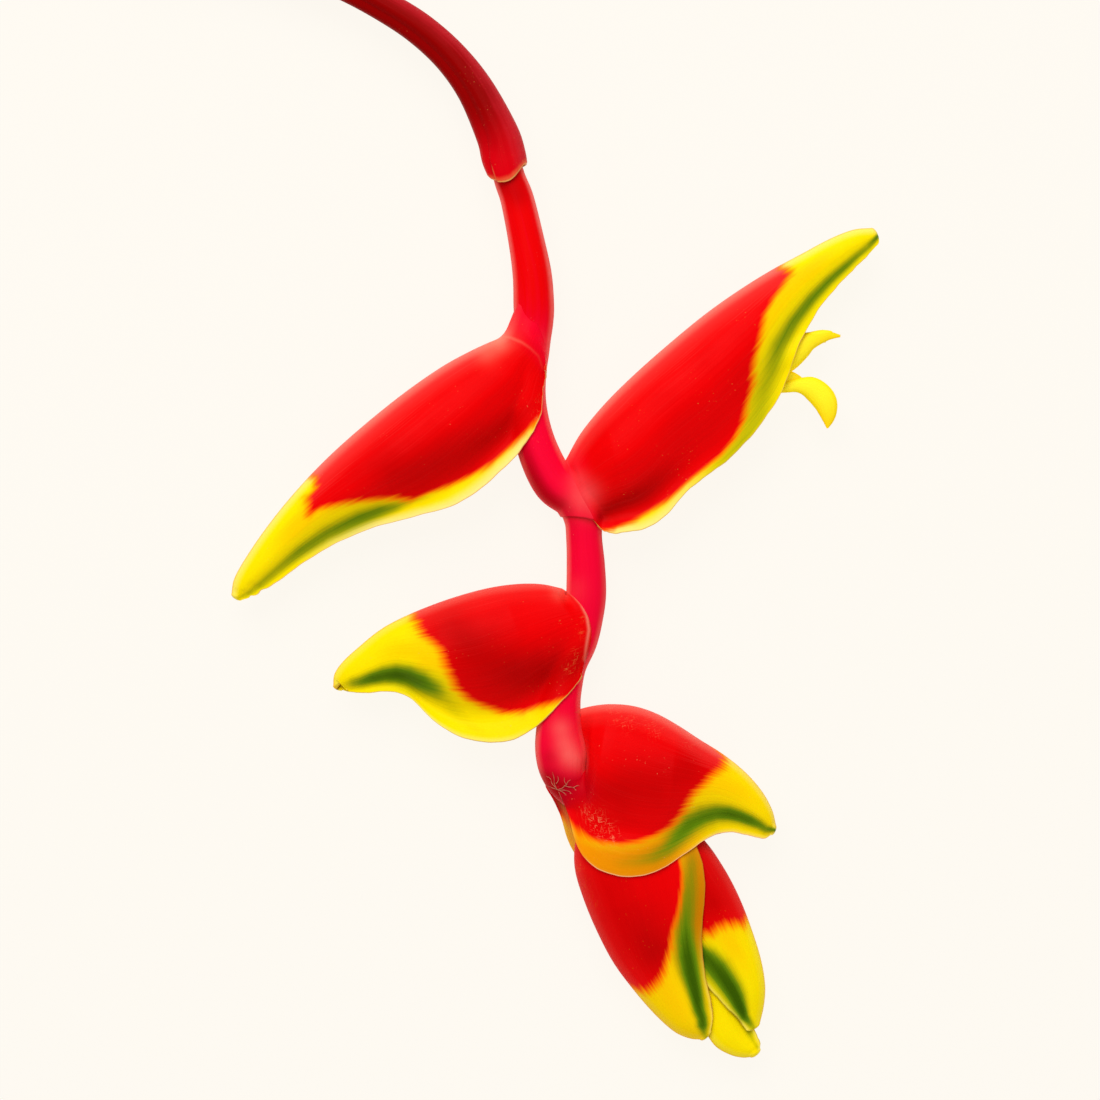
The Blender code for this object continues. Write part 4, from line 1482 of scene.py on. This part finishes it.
@dataclass
class Graph:
    """A node tree that is being filled.

    Attributes:
        tree: the tree.
        end: the node that the tree's results go to.
    """

    tree: bpy.types.NodeTree
    end: bpy.types.Node | None = None

    def node(self, kind: str, inputs: dict[object, object], **settings: object) -> bpy.types.Node:
        """Adds a shader node.

        Args:
            kind: its kind.
            inputs: signals or plain values, each by its socket's name or number.
            settings: its settings.

        Returns:
            The node.
        """
        made = self.tree.nodes.new("ShaderNode" + kind)
        for key, value in settings.items():
            setattr(made, key, value)
        self.feed(made, inputs)
        return made

    def feed(self, node: bpy.types.Node, inputs: dict[object, object]) -> None:
        """Joins a node's sockets to signals, or gives them plain values.

        Args:
            node: the node.
            inputs: signals or plain values, each by its socket's name or number.
        """
        for key, value in inputs.items():
            socket = node.inputs[key]
            if isinstance(value, Signal):
                self.tree.links.new(value.socket, socket)
            elif isinstance(value, tuple) and socket.type == "RGBA":
                socket.default_value = (*value, 1.0)
            else:
                socket.default_value = value

    def value(self, kind: str, output: object, inputs: dict, **settings: object) -> Signal:
        """Adds a shader node for one of its outputs, given by its name or number."""
        return Signal(self, self.node(kind, inputs, **settings).outputs[output])

    def math(self, operation: str, *values: object, clamp: bool = False) -> Signal:
        """The result of a sum on signals or plain numbers."""
        return self.value("Math", 0, dict(enumerate(values)), operation=operation, use_clamp=clamp)

    def mix(self, share: object, a: object, b: object) -> Signal:
        """Colour a with a share of colour b."""
        return self.value("Mix", 2, {0: share, 6: a, 7: b}, data_type="RGBA", clamp_factor=True)

    def noise(self, place: Signal, scale: float, detail: float) -> Signal:
        """A cloudy value round 0.5."""
        return self.value("TexNoise", "Fac", {"Vector": place, "Scale": scale, "Detail": detail})

    def attribute(self, name: str) -> Signal:
        """A number kept at the mesh's points."""
        return self.value("Attribute", "Fac", {}, attribute_name=name)

    def place(self) -> Signal:
        """The place on the object, in metres."""
        return self.value("TexCoord", "Object", {})

    def group(self, tree: bpy.types.NodeTree, **inputs: object) -> list[Signal]:
        """Places a node group.

        Args:
            tree: the group.
            inputs: what feeds each of its inputs, with underscores for spaces.

        Returns:
            Its outputs in order.
        """
        named = {socket_name(key): value for key, value in inputs.items()}
        made = self.node("Group", {}, node_tree=tree)
        self.feed(made, named)
        return [Signal(self, socket) for socket in made.outputs]

    def give(self, **results: Signal) -> bpy.types.NodeTree:
        """Feeds a group's outputs by name, and returns the finished tree."""
        self.feed(self.end, {socket_name(key): result for key, result in results.items()})
        return self.tree


def socket_name(key: str) -> str:
    """A group's socket name from a plain one: a capital first, spaces for underscores."""
    return key.replace("_", " ").capitalize()


def new_group(name: str, floats: str, outputs: str, colours: list[str]) -> tuple[Graph, SimpleNamespace]:
    """Starts a node group.

    Args:
        name: its name.
        floats: the names of its inputs that are numbers, with spaces between.
        outputs: the names of its outputs: a colour for `color`, and numbers otherwise.
        colours: the names of its inputs that are colours.

    Returns:
        The graph to fill, and its inputs as signals by name.
    """
    tree = bpy.data.node_groups.new(name, "ShaderNodeTree")
    wanted = [(key, "INPUT", "Float") for key in floats.split()]
    wanted += [(key, "INPUT", "Color") for key in colours]
    wanted += [(key, "OUTPUT", "Color" if key == "color" else "Float") for key in outputs.split()]
    for key, side, kind in wanted:
        tree.interface.new_socket(socket_name(key), in_out=side, socket_type="NodeSocket" + kind)
    start = tree.nodes.new("NodeGroupInput")
    graph = Graph(tree, tree.nodes.new("NodeGroupOutput"))
    given = {key: Signal(graph, start.outputs[socket_name(key)]) for key in [*floats.split(), *colours]}
    return graph, SimpleNamespace(**given)


class Effects:
    """The node groups that several finishes share, each built once."""

    def __init__(self) -> None:
        """Builds the groups."""
        self.veins = self.build_veins()
        self.wax = self.build_wax()
        self.bands = self.build_bands()
        self.scratches = self.build_scratches()

    def build_veins(self) -> bpy.types.NodeTree:
        """Streaks along the veins: noise drawn out along them, coarse and fine.

        Returns:
            The group.
        """
        graph, given = new_group("parallel veins", "across along breadth length", "streak fine", [])
        streaks = {}
        for key, narrow, seed in (("streak", 1.0, 3.7), ("fine", 0.33, 11.3)):
            way = {0: given.across / (given.breadth * narrow), 1: given.along / given.length, 2: seed}
            streaks[key] = graph.noise(graph.value("CombineXYZ", 0, way), 1.0, 1.5)
        return graph.give(**streaks)

    def build_wax(self) -> bpy.types.NodeTree:
        """A waxy skin: its fine relief, its gloss, pale specks and slow mottling.

        Returns:
            The group.
        """
        graph, given = new_group("waxy skin", "streak fine gloss", "height roughness specks mottle", [])
        place = graph.place()
        mottle, grain = graph.noise(place, 130, 3), graph.noise(place, 2600, 2)
        dots, where = graph.noise(place, 2100, 1), graph.noise(place, 110, 2)
        return graph.give(
            height=grain * 0.12 + (given.streak * 0.6 + given.fine * 0.25),
            roughness=grain * 0.1 + (mottle * 0.22 + given.gloss) - 0.16,
            specks=dots.rise(0.72, 0.79) * where.rise(0.5, 0.68),
            mottle=mottle,
        )

    def build_bands(self) -> bpy.types.NodeTree:
        """A bract's colours: red, then feathered orange, yellow, the green line, the lip.

        The distance past the red's boundary is shifted by the streaks where the veins
        cross that boundary, which feathers it, and the orange between is broader there.

        Returns:
            The group.
        """
        floats = (
            "edge cross green lip keel foot gold warmth shade dusk bloom rim_pale bare scuff "
            "inside streak fine specks mottle scratches sheen"
        )
        colours = [tone.name for tone in fields(BractFinish) if tone.type is Colour]
        graph, given = new_group("banded bract", floats, "color", colours)
        mix, keel, sheen = graph.mix, given.keel, given.sheen

        streak, fine = given.streak - 0.5, given.fine - 0.5
        feather = (fine * 0.45 + streak) * (given.cross * 2.4 + 0.4)
        edge = (given.edge + feather) / (given.cross * 1.1 + 0.6)

        # A little random mottling and the bands of painted shade darken the red.
        depth = (given.mottle * 0.6 + streak * 0.5).rise(0.15, 0.6) * 0.12
        red = mix(graph.math("ADD", given.shade, depth, clamp=True), given.red, given.deep)
        # Painted sheen along the keel: a broad pale blush, a narrow pale glow, and pale vein lines in it.
        red = mix(keel.fall(1.0, 6.5) * 0.7 * sheen, red, given.blush)
        red = mix(keel.fall(0.2, 2.6) * 0.8 * sheen, red, given.glow)
        line = keel.rise(0.5, 3.0) * 0.5 - keel.rise(3.5, 8.0) * 0.42
        red = mix(given.fine.rise(0.58, 0.72) * line * sheen, red, given.blush)

        gold = (streak * 0.5 + given.gold).rise(0.2, 1.1) * edge.fall(3.0, 10.0)
        yellow = mix(gold * 0.8, given.yellow, given.golden)
        yellow = mix(edge.fall(0.6, 3.0) * 0.6, yellow, given.golden)
        # Painted highlight: the yellow pales along the keel.
        yellow = mix(keel.fall(0.3, 2.2) * 0.5 * sheen, yellow, given.pale)
        yellow = mix(given.rim_pale, yellow, given.pale)
        yellow = mix(given.warmth, yellow, given.amber)
        # Painted shade browns the band by the lip.
        yellow = mix(given.dusk, yellow, given.umber)

        green = (fine * 0.12 + (streak * 0.16 + given.green)) * given.green.rise(0.0, 0.15)
        skin = mix(green.rise(0.02, 0.8), yellow, given.leaf)
        skin = mix(green.rise(0.62, 1.12) * 0.9, skin, given.dark_leaf)
        # Painted shade: the skin darkens to amber right at the keel, where the fold is seen edge-on.
        skin = mix(keel.fall(0.05, 0.4) * 0.4, skin, given.amber)

        colour = mix(edge.rise(-0.6, 0.6), red, given.orange)
        colour = mix(edge.rise(0.0, 1.8), colour, skin)
        colour = mix(given.foot, colour, given.crimson)
        # Spots of painted light: highlights, on bract 4 painted shade.
        colour = mix(given.bloom, colour, given.bloom_tone)
        worn = (given.scuff * given.scratches).greater(given.specks * 0.4)
        colour = mix(worn, colour, given.rim)
        colour = mix(given.inside * 0.4, colour, given.lining)
        # The lip's edge line: painted light and shade on that edge.
        colour = mix(given.lip.fall(0.08, 0.32) * given.bare * 0.85, colour, given.rim)
        return graph.give(color=colour)

    def build_scratches(self) -> bpy.types.NodeTree:
        """Fine scratches in two directions and rubbed spots, as a mask.

        Returns:
            The group.
        """
        graph, given = new_group("scratches", "across along", "mask", [])
        masks = []
        for a, b, seed in ((1.6, 0.9, 5.1), (-0.7, 1.7, 8.3)):
            u = given.across * a + given.along * b
            v = given.along * (-0.09 * a) + given.across * (0.09 * b)
            place = graph.value("CombineXYZ", 0, {0: u, 1: v, 2: seed})
            masks.append(graph.noise(place, 2.9, 3).rise(0.6, 0.7))
        return graph.give(mask=masks[0].greater(masks[1]))


def plain_shader(name: str) -> tuple[bpy.types.Material, bpy.types.Node]:
    """A new material and its shader.

    Args:
        name: the material's name.

    Returns:
        Both.
    """
    material = bpy.data.materials.new(name)
    material.use_nodes = True
    return material, material.node_tree.nodes["Principled BSDF"]


class Coat:
    """A waxy material that is being made.

    Attributes:
        material: the material.
        graph: its graph, which puts its results into its shader.
        across: the way across the veins, and `along` the way along them.
        streak: the coarse streaks, and `fine` the fine ones.
        specks: pale specks, and `mottle` the slow mottling.
    """

    def __init__(self, effects: Effects, name: str, breadth: float, length: float, gloss: float) -> None:
        """Starts the material with its relief, gloss, soft sheen and depth.

        Args:
            effects: the shared groups.
            name: the material's name.
            breadth: the breadth of a coarse streak in millimetres.
            length: the length of a streak in millimetres.
            gloss: the roughness that the wax varies round.
        """
        self.material, shader = plain_shader(name)
        self.graph = graph = Graph(self.material.node_tree, shader)
        veins = graph.value("UVMap", 0, {}, uv_map="veins")
        split = graph.node("SeparateXYZ", {0: veins}).outputs
        self.across, self.along = Signal(graph, split[0]), Signal(graph, split[1])
        self.streak, self.fine = graph.group(
            effects.veins, across=self.across, along=self.along, breadth=breadth, length=length
        )
        height, rough, self.specks, self.mottle = graph.group(
            effects.wax, streak=self.streak, fine=self.fine, gloss=gloss
        )
        relief = {"Strength": 0.35, "Distance": 0.0004, "Height": height}
        constants = {
            "Normal": graph.value("Bump", 0, relief),
            "Roughness": rough,
            "Specular IOR Level": 0.025,
            "Sheen Weight": 0.09,
            "Sheen Roughness": 0.22,
            "Sheen Tint": (1.0, 0.8, 0.75),
            "Subsurface Weight": 0.05,
            "Subsurface Radius": (0.0012, 0.0006, 0.0003),
            "Subsurface Scale": 1.0,
        }
        graph.feed(shader, constants)

    def coloured(self, colour: Signal, emission: float = 0.0) -> bpy.types.Material:
        """Gives the material its colour.

        Args:
            colour: the colour.
            emission: how far it shines by itself, a painted glow.

        Returns:
            The finished material.
        """
        self.graph.feed(self.graph.end, {"Base Color": colour})
        if emission:
            shine = {"Emission Color": colour, "Emission Strength": emission}
            self.graph.feed(self.graph.end, shine)
        return self.material


class Palette:
    """Makes the finishes of all pieces from the shared effects."""

    def __init__(self) -> None:
        """Builds the shared effects."""
        self.effects = Effects()

    def bract(self, name: str, finish: BractFinish) -> bpy.types.Material:
        """The banded finish of a bract.

        Args:
            name: the bract's name.
            finish: its colours.

        Returns:
            The material.
        """
        coat = Coat(self.effects, name, breadth=0.9, length=26.0, gloss=finish.roughness)
        graph = coat.graph
        kept = "edge cross green lip keel foot gold warmth shade dusk bloom scuff inside"
        tones = {key: value for key, value in vars(finish).items() if key != "roughness"}
        (scratches,) = graph.group(self.effects.scratches, across=coat.across, along=coat.along)
        (colour,) = graph.group(
            self.effects.bands,
            **{key: graph.attribute(key) for key in kept.split()},
            **tones,
            rim_pale=graph.attribute("pale"),
            # The lip's edge line, painted light and shade.
            bare=graph.attribute("rim"),
            scratches=scratches,
            streak=coat.streak,
            fine=coat.fine,
            specks=coat.specks,
            mottle=coat.mottle,
        )
        return coat.coloured(colour)

    def stalk(self, finish: StalkFinish) -> bpy.types.Material:
        """The stalk's finish: red to crimson, with paler swellings and a pithy cut end.

        Args:
            finish: its tones.

        Returns:
            The material.
        """
        coat = Coat(self.effects, "stalk", breadth=0.7, length=30.0, gloss=finish.roughness)
        graph, mix = coat.graph, coat.graph.mix
        tone = (coat.streak - 0.5) * 0.5 + graph.attribute("tone")
        colour = mix(tone, finish.bright, finish.crimson)
        # Painted shade on the stalk's sides and underside.
        colour = mix(graph.attribute("turn").fall(-0.2, 0.75) * 0.2, colour, finish.shade)
        colour = mix(graph.attribute("shade"), colour, finish.shade)
        # Painted highlight along the edges and on pale spots.
        glow = graph.math("MULTIPLY", graph.attribute("glow"), coat.mottle * 1.2 + 0.3, clamp=True)
        colour = mix(glow, colour, finish.glow)
        colour = mix(coat.specks * 0.35, colour, finish.glow)
        cells = {"Vector": graph.place(), "Scale": 1600}
        bundles = graph.value("TexVoronoi", "Distance", cells).fall(0.1, 0.3)
        pith = mix(bundles, finish.pith, finish.bundle)
        return coat.coloured(mix(graph.attribute("cut"), colour, pith))

    def sheath(self, finish: SheathFinish) -> bpy.types.Material:
        """The sheath's finish: dark, brighter towards the mouth, paler pink on one side by painted light,
        with a dry rim.

        Args:
            finish: its tones.

        Returns:
            The material.
        """
        coat = Coat(self.effects, "sheath", breadth=0.6, length=22.0, gloss=finish.roughness)
        graph, mix = coat.graph, coat.graph.mix
        mouth, streak = graph.attribute("mouth"), coat.streak - 0.5
        colour = mix(streak * 0.2 + mouth.fall(0.0, 22.0), finish.dark, finish.bright)
        # Painted light: one side of the sheath turns paler pink.
        bloom = ((coat.mottle + streak) * 0.4 + graph.attribute("side")).rise(0.3, 1.1)
        colour = mix(bloom * 0.7, colour, finish.bloom)
        colour = mix(coat.specks * 0.55, colour, finish.dry)
        colour = mix((streak * 0.6 + mouth).fall(0.2, 1.8) * 0.7, colour, finish.warm)
        colour = mix(mouth.fall(0.2, 0.5) * 0.8, colour, finish.dry)
        seam = graph.attribute("seam").fall(0.05, 0.4) * (0.8 - mouth.rise(2.5, 5.5))
        colour = mix(seam.greater(0.0), colour, finish.warm)
        return coat.coloured(mix(graph.attribute("inside") * 0.8, colour, finish.lining))

    def flower(self, finish: FlowerFinish) -> bpy.types.Material:
        """The flower's finish: lemon above and golden below as painted light and shade, golden towards
        the lips too, with a faint painted glow.

        Args:
            finish: its yellows.

        Returns:
            The material.
        """
        coat = Coat(self.effects, "flower", breadth=0.8, length=14.0, gloss=finish.roughness)
        graph, mix = coat.graph, coat.graph.mix
        up = (coat.streak - 0.5) * 0.6 + graph.attribute("turn")
        # Painted light: the upper face paler.
        colour = mix(up.rise(0.2, 1.0), finish.yellow, finish.pale)
        # Painted shade makes the lower face golden, and the ends are golden too.
        low = up.fall(-0.6, 0.3).greater(graph.attribute("reach").rise(0.55, 1.1))
        # The faint emission is a painted glow.
        return coat.coloured(mix(low * 0.8, colour, finish.gold), emission=0.06)

    def fibres(self, finish: FibreFinish) -> bpy.types.Material:
        """The dry fibres' finish, lighter and darker along them."""
        coat = Coat(self.effects, "fibres", breadth=0.3, length=2.0, gloss=finish.roughness)
        return coat.coloured(coat.graph.mix(coat.streak.rise(0.3, 0.7), finish.brown, finish.straw))


@dataclass
class Studio:
    """The pale table, the soft lights and the camera over the flower.

    Attributes:
        width: the breadth of the picture in the plane of the stalk's axis.
        sensor: the breadth of the camera's sensor.
        table_colour: the table's tone, and `table_glow` the share that it gives off.
        table_reach: half the table's side, in metres.
        surround_light: how strongly the surround lights, where 1 is what the camera sees.
    """

    width: float = 275.0
    sensor: float = 36.0
    table_colour: Colour = (0.992, 0.955, 0.888)
    table_glow: float = 0.95
    table_reach: float = 3.0
    surround_light: float = 0.52

    def table(self) -> None:
        """A wide pale sheet, lit from within so that hardly a shadow shows."""
        reach = self.table_reach
        corners = [(-reach, -reach, 0), (reach, -reach, 0), (reach, reach, 0), (-reach, reach, 0)]
        mesh = bpy.data.meshes.new("table")
        mesh.from_pydata(corners, [], [(0, 1, 2, 3)])
        material, shader = plain_shader("table")
        dim = 1 - self.table_glow
        finish = {
            "Base Color": tuple(dim * c for c in self.table_colour),
            "Roughness": 0.9,
            "Specular IOR Level": 0.0,
            "Emission Color": self.table_colour,
            "Emission Strength": self.table_glow,
        }
        Graph(material.node_tree).feed(shader, finish)
        mesh.materials.append(material)
        placed("table", mesh)

    def light(self, name: str, place: tuple[float, float, float], size: float, power: float) -> None:
        """A soft square light that faces the flower.

        Args:
            name: its name.
            place: its place from the middle of the picture, in metres.
            size: its side in metres.
            power: its power in watts.
        """
        lamp = bpy.data.lights.new(name, "AREA")
        lamp.shape = "SQUARE"
        lamp.size = size
        lamp.energy = power
        made = placed(name, lamp)
        middle = Vector((*CAMERA_SPOT, AXIS_HEIGHT)) * MM
        made.location = middle + Vector(place)
        made.rotation_euler = (middle - made.location).to_track_quat("-Z", "Y").to_euler()

    def surround(self) -> None:
        """An even pale surround: it lights softly, and looks like the table behind it."""
        world = bpy.data.worlds.new("surround")
        world.use_nodes = True
        graph = Graph(world.node_tree)
        seen = graph.value("LightPath", "Is Camera Ray", {})
        strength = seen * (1 - self.surround_light) + self.surround_light
        glow = {"Color": self.table_colour, "Strength": strength}
        graph.feed(world.node_tree.nodes["Background"], glow)
        bpy.context.scene.world = world

    def camera(self) -> None:
        """Looks straight down, with the picture's top towards +Y."""
        data = bpy.data.cameras.new("camera")
        data.sensor_width = self.sensor
        data.lens = self.sensor * CAMERA_HEIGHT / self.width
        data.clip_start = 0.05
        data.clip_end = 10
        made = placed("camera", data)
        made.location = Vector((*CAMERA_SPOT, AXIS_HEIGHT + CAMERA_HEIGHT)) * MM
        bpy.context.scene.camera = made

    def build(self) -> None:
        """Sets the table, the lights, the surround, the camera and plain colours."""
        self.table()
        self.light("top light", (-0.2, 0.7, 0.9), size=0.9, power=10.3)
        self.light("low light", (0.35, -0.8, 0.7), size=1.0, power=1.3)
        self.surround()
        self.camera()
        bpy.context.scene.view_settings.view_transform = "Standard"


# The tepals: rows, rings, flatness, how hollow beneath, and height over the axis.
TEPALS = [
    (SPIKE, 130, 0.72, 0.1, 0.0),
    (SEPAL, 110, 0.5, 0.75, 0.4),
    (PETAL, 60, 0.5, 0.4, -0.8),
    (SPIKE_HOOK, 30, 0.7, 0.2, 0.3),
    (SPIKE_TOOTH, 30, 0.6, 0.2, -0.2),
]
BRACTS = [
    Bract("bract_7", BRACT_7, [(0.0, -200.0), (10.0, -200.0)], [], BRACT_7_GREEN,
          ratio=0.19, tip_ratio=0.28, most=3.4, base=3.2, open_lip=0.30,
          finish=BractFinish(sheen=0.2, rim=(0.60, 0.42, 0.02))),
    Bract("bract_6", BRACT_6, BRACT_6_RED, BRACT_6_CLOSING, BRACT_6_GREEN,
          ratio=0.29, tip_ratio=0.42, most=6.3, base=4.3, open_lip=0.55,
          shades=BRACT_6_SHADES,
          finish=BractFinish(sheen=0.12, rim=(0.36, 0.26, 0.01))),
    Bract("bract_5", BRACT_5, BRACT_5_RED, BRACT_5_CLOSING, BRACT_5_GREEN,
          ratio=0.26, tip_ratio=0.42, most=7.9, base=5.0, open_lip=0.60,
          warmth=0.95, dusk=0.6, shades=BRACT_5_SHADES,
          scuffs=BRACT_5_SCUFFS,
          finish=BractFinish(yellow=(1.0, 0.66, 0.0), sheen=0.12, rim=(0.50, 0.22, 0.01))),
    Bract("bract_4", BRACT_4, BRACT_4_RED, BRACT_4_CLOSING, BRACT_4_GREEN,
          ratio=0.29, tip_ratio=0.32, most=10.5, base=6.2, open_lip=0.45,
          lean=2, weld=(0.06, 0.18), back_lip=(-2.6, -0.2, 0.42),
          warmth=0.9, dusk=0.3, rim_from=0.27, shades=BRACT_4_SHADES, blooms=BRACT_4_SHADE_SPOTS,
          scuffs=BRACT_4_SCUFFS,
          finish=BractFinish(yellow=(1.0, 0.71, 0.0), sheen=0.6, bloom_tone=(0.40, 0.0, 0.012),
                             rim=(0.96, 0.50, 0.24), lining=(0.95, 0.55, 0.12))),
    Bract("bract_3", BRACT_3, BRACT_3_RED, BRACT_3_CLOSING, BRACT_3_GREEN,
          ratio=0.27, tip_ratio=0.32, most=9.4, base=6.0, open_lip=0.30,
          grip=(0.6, 1.0), blush=(0.0, 0.1), valley=0.12, flare=0.16,
          short=1.8, pale=(0.45, 1.6, 0.28, 0.55), hem=BRACT_3_EDGE_HIGHLIGHT, shades=BRACT_3_SHADES,
          blooms=BRACT_3_HIGHLIGHT_SPOTS, scuffs=BRACT_3_SCUFFS,
          finish=BractFinish(sheen=0.4, bloom_tone=(0.97, 0.30, 0.20), rim=(0.66, 0.40, 0.10))),
    Bract("bract_2", BRACT_2, BRACT_2_RED, BRACT_2_CLOSING, BRACT_2_GREEN,
          ratio=0.33, tip_ratio=0.34, most=10.6, base=5.2, open_lip=0.40,
          weld=(0.0, 0.1), grip=(0.0, 0.1), valley=0.14, flare=0.18,
          fading=0.5, ruffle=0.8, blush=(0.95, 0.2), pale=(0.8, 3.0, 0.0, 0.3),
          shades=BRACT_2_SHADES, blooms=BRACT_2_HIGHLIGHT_SPOTS,
          finish=BractFinish(sheen=0.9, bloom_tone=(0.95, 0.11, 0.11))),
    Bract("bract_1", BRACT_1, BRACT_1_RED, BRACT_1_CLOSING, BRACT_1_GREEN,
          ratio=0.34, tip_ratio=0.34, most=10.6, base=5.8, open_lip=0.34,
          weld=(0.0, 0.1), grip=(0.0, 0.5), valley=0.1, flare=0.12,
          fading=0.75, ruffle=0.7, blush=(0.9, 0.24), pale=(0.85, 3.2, 0.38, 0.68),
          hem=BRACT_1_EDGE_HIGHLIGHT, shades=BRACT_1_SHADES, blooms=BRACT_1_HIGHLIGHT_SPOTS,
          nicks=[(0.915, 0.012, 0.6), (0.955, 0.008, 0.5)], scuffs=BRACT_1_SCUFFS,
          finish=BractFinish(sheen=0.85, bloom_tone=(0.97, 0.30, 0.19), rim=(0.78, 0.42, 0.15))),
]
# The bracts that wrap all younger ones of the tip, and the one that holds the flower.
WRAPPING = ("bract_6", "bract_5", "bract_4")
HOLDING = "bract_2"


def build_bracts(palette: Palette, stalk: Array, spike: Array) -> None:
    """Builds the bracts from the youngest to the oldest, so that each can wrap the rest.

    Args:
        palette: makes their finishes.
        stalk: the stalk as balls.
        spike: the flower's spike as balls, which one bract holds.
    """
    unders = {side: Underlay() for side in Side}
    for bract in BRACTS:
        stalks = [stalk, spike] if bract.name == HOLDING else [stalk]
        outer = bract.outer_face(stalks, unders if bract.name in WRAPPING else {})
        material = palette.bract(bract.name, bract.finish)
        bract.skin(outer).make(bract.name + "_blade", bract.name, material)
        points = outer.reshape(-1, 3)
        unders[Side.FRONT].press(points)
        unders[Side.BACK].press(points * (1, 1, -1))


def main() -> None:
    """Builds the studio and every piece."""
    logging.basicConfig(level=logging.INFO, format="%(name)s: %(message)s")
    Studio().build()
    palette = Palette()
    rachis = Rachis(RACHIS, STALK_RIMS, STALK_SWELLINGS, RACHIS_HIGHLIGHT_SPOTS, RACHIS_SHADOWS)
    rachis.skin().make("rachis_skin", "rachis", palette.stalk(StalkFinish()))
    stalk = rachis.balls()
    Sheath(SHEATH, stalk).skin().make("sheath_leaf", "sheath", palette.sheath(SheathFinish()))
    build_bracts(palette, stalk, spline(SPIKE, np.linspace(0, 1, SPIKE_BALLS)))
    Flower(TEPALS).skin().make("flower_tepals", "flower", palette.flower(FlowerFinish()))
    fibres = Fibres(FIBRES).skin(stalk)
    fibres.make("node_fibres", "rachis", palette.fibres(FibreFinish()), instead=False)


if __name__ == "__main__":
    main()
